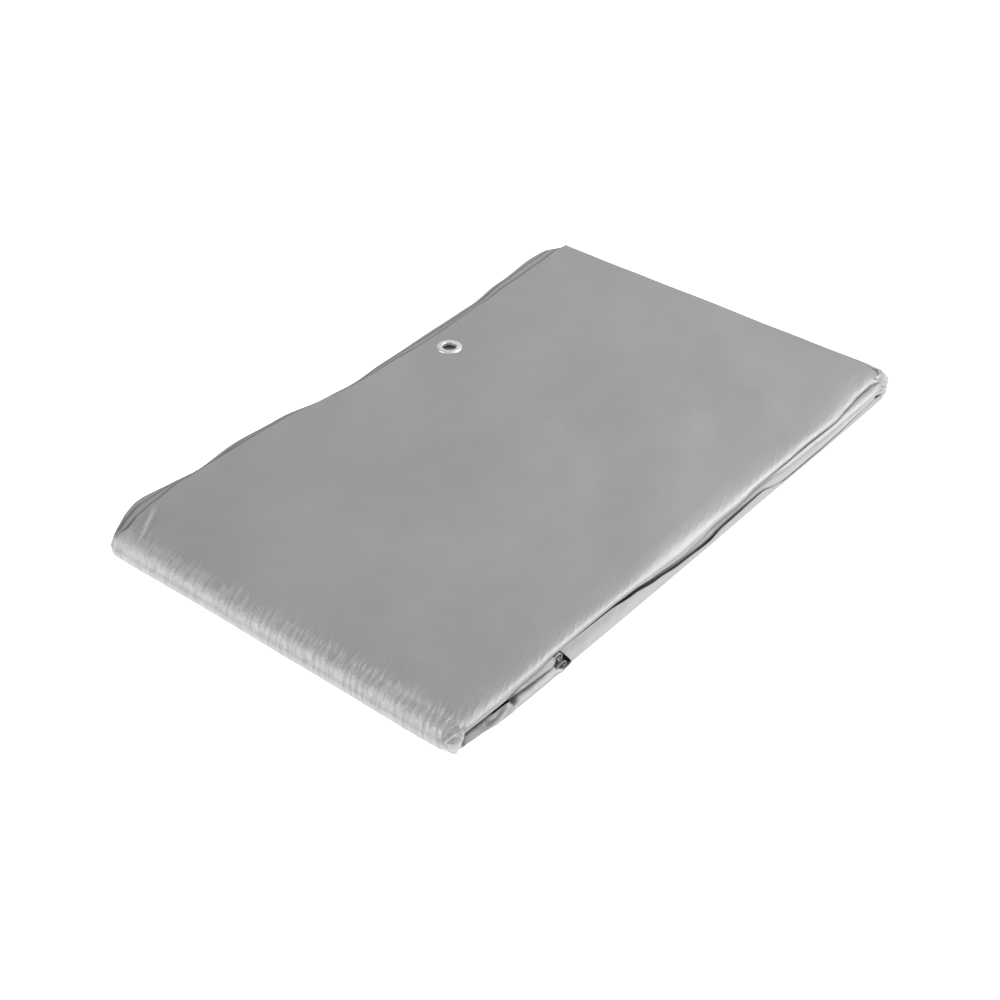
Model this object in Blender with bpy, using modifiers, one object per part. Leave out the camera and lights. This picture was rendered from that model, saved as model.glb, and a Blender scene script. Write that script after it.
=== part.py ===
"""A folded tarp of silver-grey woven plastic sheet, with one metal eyelet in its top hem.

The tarp was folded lengthways into a strip eight plies thick, and the strip was then folded in
half three times. One modelled layer stands for the eight plies of the strip, so the packet is one
back-and-forth section of eight layers. Its left end is a nest of rounded folds, its right end
holds three small folds and the two ends of the strip, its front side shows the strip's folded
edge, and its back side shows the hems. The tables give places in millimetres, with x from the
middle of the packet towards the right, y from its front side towards the hems, and z upwards.
"""

import math
from collections import namedtuple

import bmesh
import bpy
from mathutils import Vector

MM = 0.001

# Driving dimensions, in millimetres
LENGTH = 619.0  # from the rounded folds to the right edge, at the front side
WIDTH = 396.0  # from the front side to the furthest hem
SHEET = 1.6  # thickness of one modelled layer
PITCH = 2.8  # from one layer to the next
LAYERS = 8
BIG_FOLD_REACH = 18.0  # how far the outermost rounded fold at the left bulges out
BIG_FOLD_STEP = 3.4  # how much less each fold inside it bulges
SMALL_FOLD_REACH = 5.0  # the outer fold at the right
SMALL_FOLD_STEP = 3.0
LEFT_LEAN = 3.0  # how far the left end leans outwards from the front side to the hems
RIGHT_LEAN = 4.7  # how far the right end leans inwards over the same width
HEM_WIDTH = 40.0  # the doubled edge that holds the eyelets
HEM_SHEET = 1.2
HEM_STRIP_START = 3.0  # from the left end's folds to the end of the top hem's own strip
GAP = 0.3  # between two pieces

EYELET_X = 87.5  # along the front side, so 3.5 mm less at the hems, as the ends lean
EYELET_Y = 343.6
EYELET_HEM = 23.3  # from the top hem's edge to the middle of the eyelet
EYELET_BORE = 6.5
EYELET_BARREL = 7.1
EYELET_RADIUS = 12.0
EYELET_UNDER_RADIUS = 11.7
EYELET_FLANGE = 0.8
EYELET_CROWN = 0.35
EYELET_STEPS = 36
EYELET_HOLE = EYELET_BARREL + GAP
DENT_DEPTH = 1.3  # what the eyelet presses into the layers under it
DENT_RADIUS = 26.0

BIG_FOLD_STEPS = (4, 6, 7, 8)  # facets of each fold at the left, from the innermost
SMALL_FOLD_STEPS = (4, 6)

HALF_LENGTH = LENGTH / 2
HALF_SHEET = SHEET / 2
BIG_FOLD_X = -HALF_LENGTH + HALF_SHEET + BIG_FOLD_REACH
SMALL_FOLD_X = HALF_LENGTH - HALF_SHEET - SMALL_FOLD_REACH
HEM_START = BIG_FOLD_X + HEM_STRIP_START
TOP = LAYERS
UNDER_TOP = LAYERS - 1
BOTTOM = 1

# How a layer ends at the front side, in its own section: it comes out of the packet level, turns
# at a corner that is inset from the front side or, with a negative inset, stands proud of it, and
# ends bent inwards by reach, leaning back by lean. At the corner it has already sunk inwards by
# sink. run is the length of its level part, round_in is how much of that the corner rounds off,
# and round_out is the rounded share of the bent part.
Front = namedtuple("Front", "inset sink reach lean run round_in round_out")
FrontRow = namedtuple("FrontRow", "x inset sink reach lean")
HemRow = namedtuple("HemRow", "x y")
Column = namedtuple("Column", "x z inward_x inward_z front hem layer")

# The top layer's lip rolls over the front side and ends in a crisp lower edge
LIP_ROWS = (
    FrontRow(x=-291, inset=1.5, sink=0.8, reach=3.9, lean=0.3),
    FrontRow(x=-266, inset=1.5, sink=0.8, reach=4.9, lean=0.3),
    FrontRow(x=-249, inset=1.4, sink=0.9, reach=5.2, lean=0.3),
    FrontRow(x=-232, inset=2.2, sink=0.6, reach=3.6, lean=0.4),
    FrontRow(x=-210, inset=2.5, sink=0.6, reach=3.5, lean=0.4),
    FrontRow(x=-190, inset=3.8, sink=0.4, reach=2.8, lean=0.4),
    FrontRow(x=-150, inset=4.0, sink=0.4, reach=2.7, lean=0.4),
    FrontRow(x=-113, inset=4.0, sink=0.4, reach=2.7, lean=0.4),
    FrontRow(x=-88, inset=3.5, sink=0.6, reach=3.5, lean=0.4),
    FrontRow(x=-60, inset=2.4, sink=1.2, reach=5.3, lean=0.3),
    FrontRow(x=-25, inset=1.3, sink=1.8, reach=7.0, lean=0.2),
    FrontRow(x=1, inset=1.8, sink=1.4, reach=5.8, lean=0.3),
    FrontRow(x=22, inset=2.8, sink=0.9, reach=4.0, lean=0.4),
    FrontRow(x=60, inset=2.6, sink=0.8, reach=3.8, lean=0.4),
    FrontRow(x=89, inset=4.2, sink=0.5, reach=2.8, lean=0.4),
    FrontRow(x=136, inset=4.4, sink=0.5, reach=2.7, lean=0.4),
    FrontRow(x=165, inset=5.0, sink=0.4, reach=2.5, lean=0.4),
    FrontRow(x=215, inset=4.2, sink=0.6, reach=3.3, lean=0.4),
    FrontRow(x=240, inset=7.0, sink=0.4, reach=2.6, lean=0.4),
    FrontRow(x=262, inset=9.6, sink=0.4, reach=2.5, lean=0.4),
    FrontRow(x=284, inset=10.4, sink=0.4, reach=2.5, lean=0.4),
    FrontRow(x=296, inset=7.4, sink=1.0, reach=4.2, lean=0.4),
    FrontRow(x=309, inset=15.0, sink=1.0, reach=3.6, lean=0.4),
)

# The layer under it hangs down inside the lip as a flap, whose lower edge is the ridge in the
# recess at the left and the lower edge of the broad band at the right
FLAP_ROWS = (
    FrontRow(x=-291, inset=12.0, sink=0.2, reach=1.0, lean=0.0),
    FrontRow(x=-268, inset=5.6, sink=0.8, reach=2.4, lean=0.2),
    FrontRow(x=-250, inset=4.0, sink=1.2, reach=4.4, lean=-1.0),
    FrontRow(x=-232, inset=4.8, sink=1.0, reach=5.9, lean=-2.2),
    FrontRow(x=-210, inset=5.4, sink=0.8, reach=7.6, lean=-3.2),
    FrontRow(x=-187, inset=6.4, sink=0.4, reach=9.6, lean=-3.6),
    FrontRow(x=-176, inset=7.6, sink=0.4, reach=9.0, lean=0.0),
    FrontRow(x=-113, inset=7.6, sink=0.6, reach=9.0, lean=0.0),
    FrontRow(x=-77, inset=5.4, sink=1.4, reach=10.4, lean=-0.8),
    FrontRow(x=-40, inset=4.2, sink=2.0, reach=11.2, lean=-0.4),
    FrontRow(x=-18, inset=4.8, sink=2.0, reach=11.4, lean=0.4),
    FrontRow(x=4, inset=9.4, sink=1.0, reach=11.0, lean=0.8),
    FrontRow(x=96, inset=8.8, sink=0.8, reach=11.4, lean=0.8),
    FrontRow(x=114, inset=5.4, sink=1.4, reach=11.8, lean=-1.0),
    FrontRow(x=130, inset=2.2, sink=2.6, reach=12.4, lean=-0.8),
    FrontRow(x=182, inset=1.6, sink=3.0, reach=12.0, lean=-0.4),
    FrontRow(x=215, inset=1.4, sink=2.8, reach=10.7, lean=-0.2),
    FrontRow(x=238, inset=1.6, sink=2.4, reach=9.0, lean=0.0),
    FrontRow(x=277, inset=2.0, sink=1.8, reach=6.6, lean=0.2),
    FrontRow(x=290, inset=4.0, sink=1.2, reach=3.4, lean=0.4),
    FrontRow(x=309, inset=15.0, sink=0.2, reach=1.0, lean=0.0),
)

# The bottom layer turns up. At the left it leans into the recess, it then stands up as the tab
# that starts with a cut-off end, sinks below the shaded recess, and is a thin band at the right
TAB_ROWS = (
    FrontRow(x=-291, inset=2.2, sink=0.0, reach=8.5, lean=4.6),
    FrontRow(x=-285, inset=3.2, sink=0.0, reach=11.0, lean=6.6),
    FrontRow(x=-262, inset=1.4, sink=0.0, reach=10.6, lean=6.8),
    FrontRow(x=-250, inset=-0.6, sink=0.0, reach=7.6, lean=3.0),
    FrontRow(x=-237, inset=-1.2, sink=0.0, reach=7.0, lean=3.4),
    FrontRow(x=-229, inset=-1.0, sink=0.0, reach=9.4, lean=7.4),
    FrontRow(x=-192, inset=-1.4, sink=0.0, reach=8.6, lean=7.8),
    FrontRow(x=-182, inset=-1.2, sink=0.0, reach=9.0, lean=7.0),
    FrontRow(x=-177, inset=-1.2, sink=0.0, reach=15.6, lean=2.0),
    FrontRow(x=-120, inset=-1.0, sink=0.0, reach=15.4, lean=2.2),
    FrontRow(x=-88, inset=-0.6, sink=0.0, reach=13.4, lean=1.2),
    FrontRow(x=-60, inset=-0.6, sink=0.0, reach=10.0, lean=0.4),
    FrontRow(x=-25, inset=0.0, sink=0.0, reach=7.0, lean=0.2),
    FrontRow(x=15, inset=0.2, sink=0.0, reach=5.0, lean=0.4),
    FrontRow(x=34, inset=0.4, sink=0.0, reach=8.2, lean=0.8),
    FrontRow(x=96, inset=0.8, sink=0.0, reach=9.8, lean=1.2),
    FrontRow(x=114, inset=1.2, sink=0.0, reach=5.4, lean=0.6),
    FrontRow(x=130, inset=1.4, sink=0.0, reach=2.4, lean=0.2),
    FrontRow(x=182, inset=1.6, sink=0.0, reach=2.4, lean=0.2),
    FrontRow(x=215, inset=1.8, sink=0.0, reach=3.8, lean=0.4),
    FrontRow(x=248, inset=1.8, sink=0.0, reach=6.4, lean=0.8),
    FrontRow(x=277, inset=2.4, sink=0.0, reach=8.0, lean=2.0),
    FrontRow(x=292, inset=3.0, sink=0.0, reach=4.4, lean=1.6),
    FrontRow(x=304, inset=4.0, sink=0.0, reach=1.6, lean=0.6),
)

LIP_SHAPE = dict(run=19.0, round_in=13.0, round_out=0.92)
FLAP_SHAPE = dict(run=22.0, round_in=5.0, round_out=0.4)
TAB_SHAPE = dict(run=14.0, round_in=2.4, round_out=0.18)
INNER_FRONT = Front(
    inset=14.0, sink=0.0, reach=0.4, lean=0.0, run=8.0, round_in=3.0, round_out=0.5
)
BIG_FOLD_CAP = Front(
    inset=1.0, sink=0.6, reach=6.6, lean=2.4, run=15.0, round_in=8.0, round_out=0.5
)

# The wavy hem edges, by layer. The edges of the top layers lie a little short of the next
HEM_ROWS = {
    8: (
        HemRow(x=-291, y=369.5),
        HemRow(x=-257, y=374.6),
        HemRow(x=-220, y=379.5),
        HemRow(x=-134, y=380.2),
        HemRow(x=-100, y=379.0),
        HemRow(x=-60, y=374.0),
        HemRow(x=-35, y=368.8),
        HemRow(x=-10, y=367.0),
        HemRow(x=34, y=368.4),
        HemRow(x=75, y=366.9),
        HemRow(x=159, y=370.0),
        HemRow(x=211, y=374.8),
        HemRow(x=263, y=378.0),
        HemRow(x=293, y=380.6),
        HemRow(x=309, y=379.4),
    ),
    7: (
        HemRow(x=-291, y=370.0),
        HemRow(x=-262, y=383.0),
        HemRow(x=-220, y=385.2),
        HemRow(x=-184, y=382.6),
        HemRow(x=-134, y=386.4),
        HemRow(x=-96, y=383.4),
        HemRow(x=-50, y=376.6),
        HemRow(x=-16, y=371.8),
        HemRow(x=34, y=374.6),
        HemRow(x=109, y=375.0),
        HemRow(x=159, y=376.6),
        HemRow(x=211, y=383.6),
        HemRow(x=263, y=387.4),
        HemRow(x=290, y=388.6),
        HemRow(x=309, y=380.0),
    ),
    6: (
        HemRow(x=-291, y=368.0),
        HemRow(x=-258, y=393.0),
        HemRow(x=-220, y=391.2),
        HemRow(x=-196, y=386.8),
        HemRow(x=-148, y=391.8),
        HemRow(x=-96, y=388.8),
        HemRow(x=-44, y=379.6),
        HemRow(x=-13, y=376.6),
        HemRow(x=34, y=379.6),
        HemRow(x=109, y=382.2),
        HemRow(x=159, y=383.4),
        HemRow(x=211, y=390.0),
        HemRow(x=271, y=396.0),
        HemRow(x=290, y=395.4),
        HemRow(x=303, y=388.0),
    ),
    5: (HemRow(x=-291, y=360.0), HemRow(x=-20, y=371.0), HemRow(x=303, y=386.0)),
    4: (HemRow(x=-291, y=356.0), HemRow(x=40, y=374.0), HemRow(x=303, y=388.0)),
    3: (HemRow(x=-291, y=352.0), HemRow(x=-60, y=370.0), HemRow(x=303, y=384.0)),
    2: (HemRow(x=-291, y=354.0), HemRow(x=60, y=375.0), HemRow(x=303, y=387.0)),
    1: (HemRow(x=-291, y=353.0), HemRow(x=0, y=373.0), HemRow(x=303, y=383.0)),
}

INNER_PLACES = (-180.0, 24.0, EYELET_X, 144.0, 200.0)
WEST_HEM_PLACES = (-258.0, -220.0, -190.0, -148.0, -96.0, -48.0, -12.0)
EAST_HEM_PLACES = (34.0, EYELET_X, 113.0, 159.0, 211.0, 263.0, 290.0)
HEM_PLACES = WEST_HEM_PLACES + EAST_HEM_PLACES

# The strip's way through the layers, and the side at which each passes to the next
LEFT, RIGHT = -1, 1
PanelRow = namedtuple("PanelRow", "layer then")
PATH = (
    PanelRow(layer=7, then=LEFT),
    PanelRow(layer=2, then=RIGHT),
    PanelRow(layer=3, then=LEFT),
    PanelRow(layer=6, then=RIGHT),
    PanelRow(layer=5, then=LEFT),
    PanelRow(layer=4, then=RIGHT),
    PanelRow(layer=1, then=LEFT),
    PanelRow(layer=8, then=None),
)
CORNER_PLACES = (0.75, 0.5, 0.25)
BODY_PLACES = (0.25, 0.6)
HEM_PARTS = (HEM_WIDTH, EYELET_HEM, 0.0)  # rows of the sheet, from its hem's edge
TOP_HEM_PARTS = (30.0, 14.0, 0.0)  # the same on the top layer, which ends at the hem's strip


def clear_scene():
    """Removes every object, so that the script can be run again."""
    for thing in list(bpy.data.objects):
        bpy.data.objects.remove(thing, do_unlink=True)
    for group in list(bpy.data.collections):
        bpy.data.collections.remove(group)


def new_collection(name):
    group = bpy.data.collections.new(name)
    bpy.context.scene.collection.children.link(group)
    return group


def new_material(name, colour, roughness, metallic):
    material = bpy.data.materials.new(name)
    material.use_nodes = True
    shader = material.node_tree.nodes["Principled BSDF"]
    shader.inputs["Base Color"].default_value = (*colour, 1.0)
    shader.inputs["Roughness"].default_value = roughness
    shader.inputs["Metallic"].default_value = metallic
    material.diffuse_color = (*colour, 1.0)
    return material


def between(low, high, share):
    return low + (high - low) * share


def mixed(first, second, share):
    """The row a share of the way from one to another with the same columns."""
    return type(first)(*(between(a, b, share) for a, b in zip(first, second)))


def row_at(rows, x):
    """The table's row at x, eased from each row to the next."""
    if x <= rows[0].x:
        return rows[0]
    for before, after in zip(rows, rows[1:]):
        if x <= after.x:
            share = (x - before.x) / (after.x - before.x)
            return mixed(before, after, share * share * (3 - 2 * share))
    return rows[-1]


def level_of(layer):
    return HALF_SHEET + (layer - 1) * PITCH


def front_of(layer, x):
    """How this layer ends at the front side, at x."""
    shaped = {
        TOP: (LIP_ROWS, LIP_SHAPE),
        UNDER_TOP: (FLAP_ROWS, FLAP_SHAPE),
        BOTTOM: (TAB_ROWS, TAB_SHAPE),
    }
    if layer not in shaped:
        return INNER_FRONT
    rows, shape = shaped[layer]
    row = row_at(rows, x)
    return Front(row.inset, row.sink, row.reach, row.lean, **shape)


def lean_at(x):
    """How far the packet's ends lean, at x, over its full width."""
    return between(-LEFT_LEAN, -RIGHT_LEAN, (x + HALF_LENGTH) / LENGTH)


def hem_of(layer, x):
    return row_at(HEM_ROWS[layer], x + lean_at(x)).y


def places_of(layer):
    """Where along x a layer has its columns, between the folds at its two ends."""
    shaped = {TOP: LIP_ROWS, UNDER_TOP: FLAP_ROWS, BOTTOM: TAB_ROWS}
    places = {row.x for row in shaped.get(layer, ())}
    places |= set(HEM_PLACES if layer in (*shaped, TOP - 2) else INNER_PLACES)
    right_end = HALF_LENGTH if layer in (TOP, UNDER_TOP) else SMALL_FOLD_X
    if layer == TOP:
        places.add(HEM_START)
    inside = sorted(x for x in places if BIG_FOLD_X + 2 < x < right_end - 2)
    kept = [x for x, after in zip(inside, inside[1:] + [right_end]) if after - x > 3]
    return [BIG_FOLD_X, *kept, right_end]


def panel_columns(layer, towards):
    """The columns of one layer, from one end of the packet to the other."""
    inward = -1 if layer > LAYERS / 2 else 1
    columns = [
        Column(x, level_of(layer), 0, inward, front_of(layer, x), hem_of(layer, x), layer)
        for x in places_of(layer)
    ]
    return columns if towards == RIGHT else columns[::-1]


def fold_columns(start, end, side):
    """The columns of the fold between two layers, half an ellipse in the packet's section."""
    low, high = sorted((start.layer, end.layer))
    nested = (high - low - 1) // 2  # how many folds lie inside this one
    if side == LEFT:
        steps = BIG_FOLD_STEPS[nested]
        reach = BIG_FOLD_REACH - (LAYERS // 2 - 1 - nested) * BIG_FOLD_STEP
    else:
        steps = SMALL_FOLD_STEPS[nested]
        reach = SMALL_FOLD_REACH - (1 - nested) * SMALL_FOLD_STEP
    middle = (start.z + end.z) / 2
    rise = (start.z - end.z) / 2
    columns = []
    for step in range(1, steps):
        turn = math.pi * step / steps
        across, along = math.sin(turn), math.cos(turn)
        inward = Vector((-side * across / reach, -along / rise)).normalized()
        front = mixed(start.front, end.front, step / steps)
        if side == LEFT and nested == LAYERS // 2 - 1:
            front = mixed(front, BIG_FOLD_CAP, across)
        columns.append(
            Column(
                start.x + side * reach * across,
                middle + rise * along,
                inward.x,
                inward.y,
                front,
                between(start.hem, end.hem, step / steps),
                0,
            )
        )
    return columns


def strip_columns():
    """Every column of the folded strip, from its first end to its last."""
    towards = LEFT
    columns = []
    for number, row in enumerate(PATH):
        panel = panel_columns(row.layer, towards)
        if columns:
            columns += fold_columns(columns[-1], panel[0], PATH[number - 1].then)
        columns += panel
        towards = -towards
    return columns


def front_points(front):
    """The layer's section at the front side, as pairs of inset and inward shift."""
    outer = Vector((front.inset + front.lean, front.reach))
    corner = Vector((front.inset, front.sink))
    inner = Vector((front.inset + front.run, 0.0))
    leaving = corner.lerp(outer, front.round_out)
    coming = corner.lerp(inner, front.round_in / front.run)
    points = [outer, outer.lerp(leaving, 0.5), leaving]
    for share in CORNER_PLACES:
        points.append(
            coming.lerp(corner, share).lerp(corner.lerp(leaving, share), share)
        )
    return [*points, coming, inner]


def dent(column, x, y):
    """How far the eyelet of the top hem presses this layer down."""
    if column.layer in (0, TOP):
        return 0.0
    distance = math.hypot(x - EYELET_X, y - EYELET_Y) / DENT_RADIUS
    depth = DENT_DEPTH * (column.layer - 1) / (UNDER_TOP - 1)
    return depth * math.exp(-distance * distance)


def column_points(column):
    """The middle of the sheet along one column, from the front side to the hem."""
    hem, hem_parts = column.hem, HEM_PARTS
    if column.layer == TOP and column.x > BIG_FOLD_X:
        hem, hem_parts = column.hem - HEM_WIDTH - GAP, TOP_HEM_PARTS
    section = [(p.x, p.y) for p in front_points(column.front)]
    last_inset = section[-1][0]
    first_hem = hem - hem_parts[0]
    section += [(between(last_inset, first_hem, share), 0.0) for share in BODY_PLACES]
    section += [(hem - part, 0.0) for part in hem_parts]
    points = []
    for inset, shift in section:
        x = column.x + column.inward_x * shift
        z = column.z + column.inward_z * shift - dent(column, column.x, inset)
        points.append(placed(x, inset, z))
    return points


def placed(x, y, z):
    """A point of the tables, in metres, with the packet's two slightly leaning ends."""
    return Vector((x + lean_at(x) * y / WIDTH, y - WIDTH / 2, z)) * MM


def sheet_object(name, rows, thickness, group, material):
    """A sheet through a grid of points, with its thickness on both sides of them."""
    across, along = len(rows[0]) - 1, len(rows) - 1
    mesh = bpy.data.meshes.new(name)
    grid = bmesh.new()
    bmesh.ops.create_grid(grid, x_segments=across, y_segments=along, size=1.0)
    for vert in grid.verts:
        j = round((vert.co.x + 1) / 2 * across)
        i = round((vert.co.y + 1) / 2 * along)
        vert.co = rows[i][j]
    bmesh.ops.recalc_face_normals(grid, faces=grid.faces)
    grid.to_mesh(mesh)
    grid.free()
    mesh.shade_smooth()
    mesh.materials.append(material)
    thing = bpy.data.objects.new(name, mesh)
    group.objects.link(thing)
    skin = thing.modifiers.new("Thickness", "SOLIDIFY")
    skin.thickness = thickness * MM
    skin.offset = 0.0
    return thing


def build_tarp(group):
    cloth = new_material("Silver woven sheet", (0.30, 0.31, 0.32), 0.42, 0.0)
    rows = [column_points(column) for column in strip_columns()]
    return sheet_object("tarp", rows, SHEET, group, cloth)


def hem_points(x):
    """The top hem's strip at x, from its inner edge to the hem's edge."""
    edge = hem_of(TOP, x)
    parts = (HEM_WIDTH, EYELET_HEM + EYELET_RADIUS, EYELET_HEM - EYELET_RADIUS, 0.0)
    return [placed(x, edge - part, level_of(TOP)) for part in parts]


def build_hem_strip(group, cutters):
    """The strip of the top hem, which the eyelet is pressed into."""
    cloth = new_material("Silver hem", (0.29, 0.30, 0.31), 0.45, 0.0)
    places = [x for x in places_of(TOP) if x > HEM_START]
    rows = [hem_points(x) for x in (HEM_START + GAP, *places)]
    strip = sheet_object("hem_strip", rows, HEM_SHEET, group, cloth)
    bpy.ops.mesh.primitive_cylinder_add(
        vertices=EYELET_STEPS,
        radius=EYELET_HOLE * MM,
        depth=PITCH * MM,
        location=placed(EYELET_X, EYELET_Y, level_of(TOP)),
    )
    cutter = bpy.context.object
    cutter.name = "eyelet_hole_cutter"
    for owner in list(cutter.users_collection):
        owner.objects.unlink(cutter)
    cutters.objects.link(cutter)
    cutter.hide_render = True
    cutter.display_type = "WIRE"
    hole = strip.modifiers.new("Eyelet hole", "BOOLEAN")
    hole.operation = "DIFFERENCE"
    hole.object = cutter
    return strip


def build_eyelet(group):
    """Barrel and two flanges in one turned ring, pressed round the strip's hole."""
    inside = HEM_SHEET / 2 + GAP
    outside = inside + EYELET_FLANGE
    crown = outside + EYELET_CROWN
    rounding = EYELET_FLANGE / 2
    profile = (
        (EYELET_BORE, outside - rounding),
        (EYELET_BORE + rounding, outside),
        (EYELET_BORE + 3 * rounding, crown),
        (EYELET_BORE + 6 * rounding, crown),
        (EYELET_RADIUS - 3 * rounding, outside),
        (EYELET_RADIUS, inside + rounding),
        (EYELET_RADIUS, inside),
        (EYELET_BARREL, inside),
        (EYELET_BARREL, -inside),
        (EYELET_UNDER_RADIUS, -inside),
        (EYELET_UNDER_RADIUS, -outside + rounding),
        (EYELET_UNDER_RADIUS - rounding, -outside),
        (EYELET_BORE + rounding, -outside),
        (EYELET_BORE, -outside + rounding),
    )
    mesh = bpy.data.meshes.new("eyelet")
    turned = bmesh.new()
    ring = [turned.verts.new((r * MM, 0.0, z * MM)) for r, z in profile]
    for first, second in zip(ring, ring[1:] + ring[:1]):
        turned.edges.new((first, second))
    turned.to_mesh(mesh)
    turned.free()
    mesh.materials.append(new_material("Bright zinc", (0.78, 0.79, 0.80), 0.25, 1.0))
    eyelet = bpy.data.objects.new("eyelet", mesh)
    group.objects.link(eyelet)
    eyelet.location = placed(EYELET_X, EYELET_Y, level_of(TOP))
    spin = eyelet.modifiers.new("Turned", "SCREW")
    spin.steps = spin.render_steps = EYELET_STEPS
    spin.use_merge_vertices = True
    spin.merge_threshold = 0.00001
    spin.use_smooth_shade = True
    return eyelet


def centre(things):
    """Moves everything so that the origin is under the middle of the packet's box."""
    bpy.context.view_layer.update()
    graph = bpy.context.evaluated_depsgraph_get()
    corners = [
        thing.matrix_world @ Vector(corner)
        for thing in things
        for corner in thing.evaluated_get(graph).bound_box
    ]
    middle = Vector(
        (max(c[axis] for c in corners) + min(c[axis] for c in corners)) / 2
        for axis in range(2)
    )
    for thing in bpy.data.objects:
        thing.location.x -= middle.x
        thing.location.y -= middle.y


def main():
    clear_scene()
    group = new_collection("Folded tarp")
    cutters = new_collection("Cutters")
    tarp = build_tarp(group)
    strip = build_hem_strip(group, cutters)
    eyelet = build_eyelet(group)
    centre([tarp, strip, eyelet])


main()
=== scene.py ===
"""A folded silver tarp with one metal eyelet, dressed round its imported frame.

The tarp's strip runs back and forth through eight layers, as its solid does, here with finer
folds, creases and plies. The tables give places in millimetres: x along the packet towards its
right end, y from its front side towards the hems, z upwards from the surface it rests on.
"""

import logging
import math
from collections.abc import Sequence
from dataclasses import dataclass, field, fields
from enum import Enum
from typing import Any

import bmesh
import bpy
import numpy as np
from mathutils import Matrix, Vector


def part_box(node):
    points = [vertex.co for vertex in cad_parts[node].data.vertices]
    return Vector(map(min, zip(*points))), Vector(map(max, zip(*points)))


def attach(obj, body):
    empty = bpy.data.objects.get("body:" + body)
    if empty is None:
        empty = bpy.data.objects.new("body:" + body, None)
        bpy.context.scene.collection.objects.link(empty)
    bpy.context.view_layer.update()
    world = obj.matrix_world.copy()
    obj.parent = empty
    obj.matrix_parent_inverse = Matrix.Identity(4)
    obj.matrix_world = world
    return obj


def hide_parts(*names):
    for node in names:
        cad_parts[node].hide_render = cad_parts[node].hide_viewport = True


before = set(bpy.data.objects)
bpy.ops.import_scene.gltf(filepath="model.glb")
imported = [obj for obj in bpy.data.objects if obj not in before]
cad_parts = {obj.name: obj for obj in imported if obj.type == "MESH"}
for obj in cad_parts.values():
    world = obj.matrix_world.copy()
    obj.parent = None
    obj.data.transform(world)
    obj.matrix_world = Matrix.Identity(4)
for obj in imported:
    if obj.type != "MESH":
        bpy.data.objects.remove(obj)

LOG = logging.getLogger("folded_tarp")
MM = 0.001
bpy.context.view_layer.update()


class Side(Enum):
    """The end of the packet at which one layer passes to the next."""

    LEFT = -1
    RIGHT = 1


@dataclass(frozen=True)
class FrontRow:
    """How a layer ends at the front side, at x: its corner, and the bent part after it."""

    x: float
    inset: float
    sink: float
    reach: float
    lean: float


@dataclass(frozen=True)
class HemRow:
    """Where a hem's edge lies, at x."""

    x: float
    y: float


@dataclass(frozen=True)
class Bend:
    """How round a front corner is: the level part it is cut from, and both sides' rounding."""

    run: float
    round_in: float
    round_out: float


@dataclass(frozen=True)
class Crease:
    """A soft ridge, or a trough where its height is negative, between two places."""

    x1: float
    y1: float
    x2: float
    y2: float
    width: float
    height: float
    crisp: bool = False

    def raised(self, x: np.ndarray, y: np.ndarray) -> np.ndarray:
        """Height of the crease over places of its layer.

        Args:
            x: Places along the packet.
            y: Places across it, in the crease's own terms.

        Returns:
            The height at each place, in millimetres.
        """
        run = np.array([self.x2 - self.x1, self.y2 - self.y1])
        length = float(np.hypot(*run))
        along = ((x - self.x1) * run[0] + (y - self.y1) * run[1]) / length**2
        off = ((x - self.x1) * run[1] - (y - self.y1) * run[0]) / length
        inside = np.clip(along, 0.0, 1.0)
        past = (along - inside) * length
        fade = 1.0 - np.abs(2.0 * inside - 1.0) ** 6 * 0.5
        away = (off**2 + past**2) / self.width**2
        return self.height * fade * np.exp(-np.sqrt(away) if self.crisp else -away)


@dataclass(frozen=True)
class Swell:
    """A long soft wave of the cloth: its direction, length, height and phase."""

    turn_deg: float
    length: float
    height: float
    phase: float

    def raised(self, x: np.ndarray, y: np.ndarray) -> np.ndarray:
        """Height of the wave over places of its layer.

        Args:
            x: Places along the packet.
            y: Places across it.

        Returns:
            The height at each place, in millimetres.
        """
        turn = math.radians(self.turn_deg)
        along = x * math.cos(turn) + y * math.sin(turn)
        return self.height * np.sin(along / self.length * math.tau + self.phase)


def softened(line: np.ndarray, spread: float) -> np.ndarray:
    """A line of evenly spaced values with its corners rounded, and its ends kept.

    Args:
        line: The values, along the first axis.
        spread: How far the rounding reaches, in spacings.

    Returns:
        The rounded values.
    """
    reach = max(1, int(3 * spread))
    weights = np.exp(-0.5 * (np.arange(-reach, reach + 1) / max(spread, 1e-6)) ** 2)
    weights /= weights.sum()
    flat = line.reshape(len(line), -1)
    before = 2 * flat[0] - flat[1 : reach + 1][::-1]
    after = 2 * flat[-1] - flat[-reach - 1 : -1][::-1]
    padded = np.vstack([before, flat, after])
    columns = [np.convolve(padded[:, k], weights, "valid") for k in range(flat.shape[1])]
    return np.stack(columns, axis=1).reshape(line.shape)


def drawn(places: np.ndarray, count: int, spread: float) -> np.ndarray:
    """Evenly shared points of a line through given ones, with its corners rounded.

    Args:
        places: The given points, along the first axis.
        count: How many points are wanted.
        spread: How far each corner is rounded, as a share of one stretch.

    Returns:
        The points, along the first axis.
    """
    fine = 24
    share = np.linspace(0, len(places) - 1, fine * (len(places) - 1) + 1)
    flat = places.reshape(len(places), -1)
    index = np.arange(len(places))
    line = np.stack([np.interp(share, index, flat[:, k]) for k in range(flat.shape[1])], 1)
    line = softened(line, spread * fine)
    wanted = np.linspace(0, len(places) - 1, count)
    points = np.stack([np.interp(wanted, share, line[:, k]) for k in range(flat.shape[1])], 1)
    return points.reshape((count, *places.shape[1:]))


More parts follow.
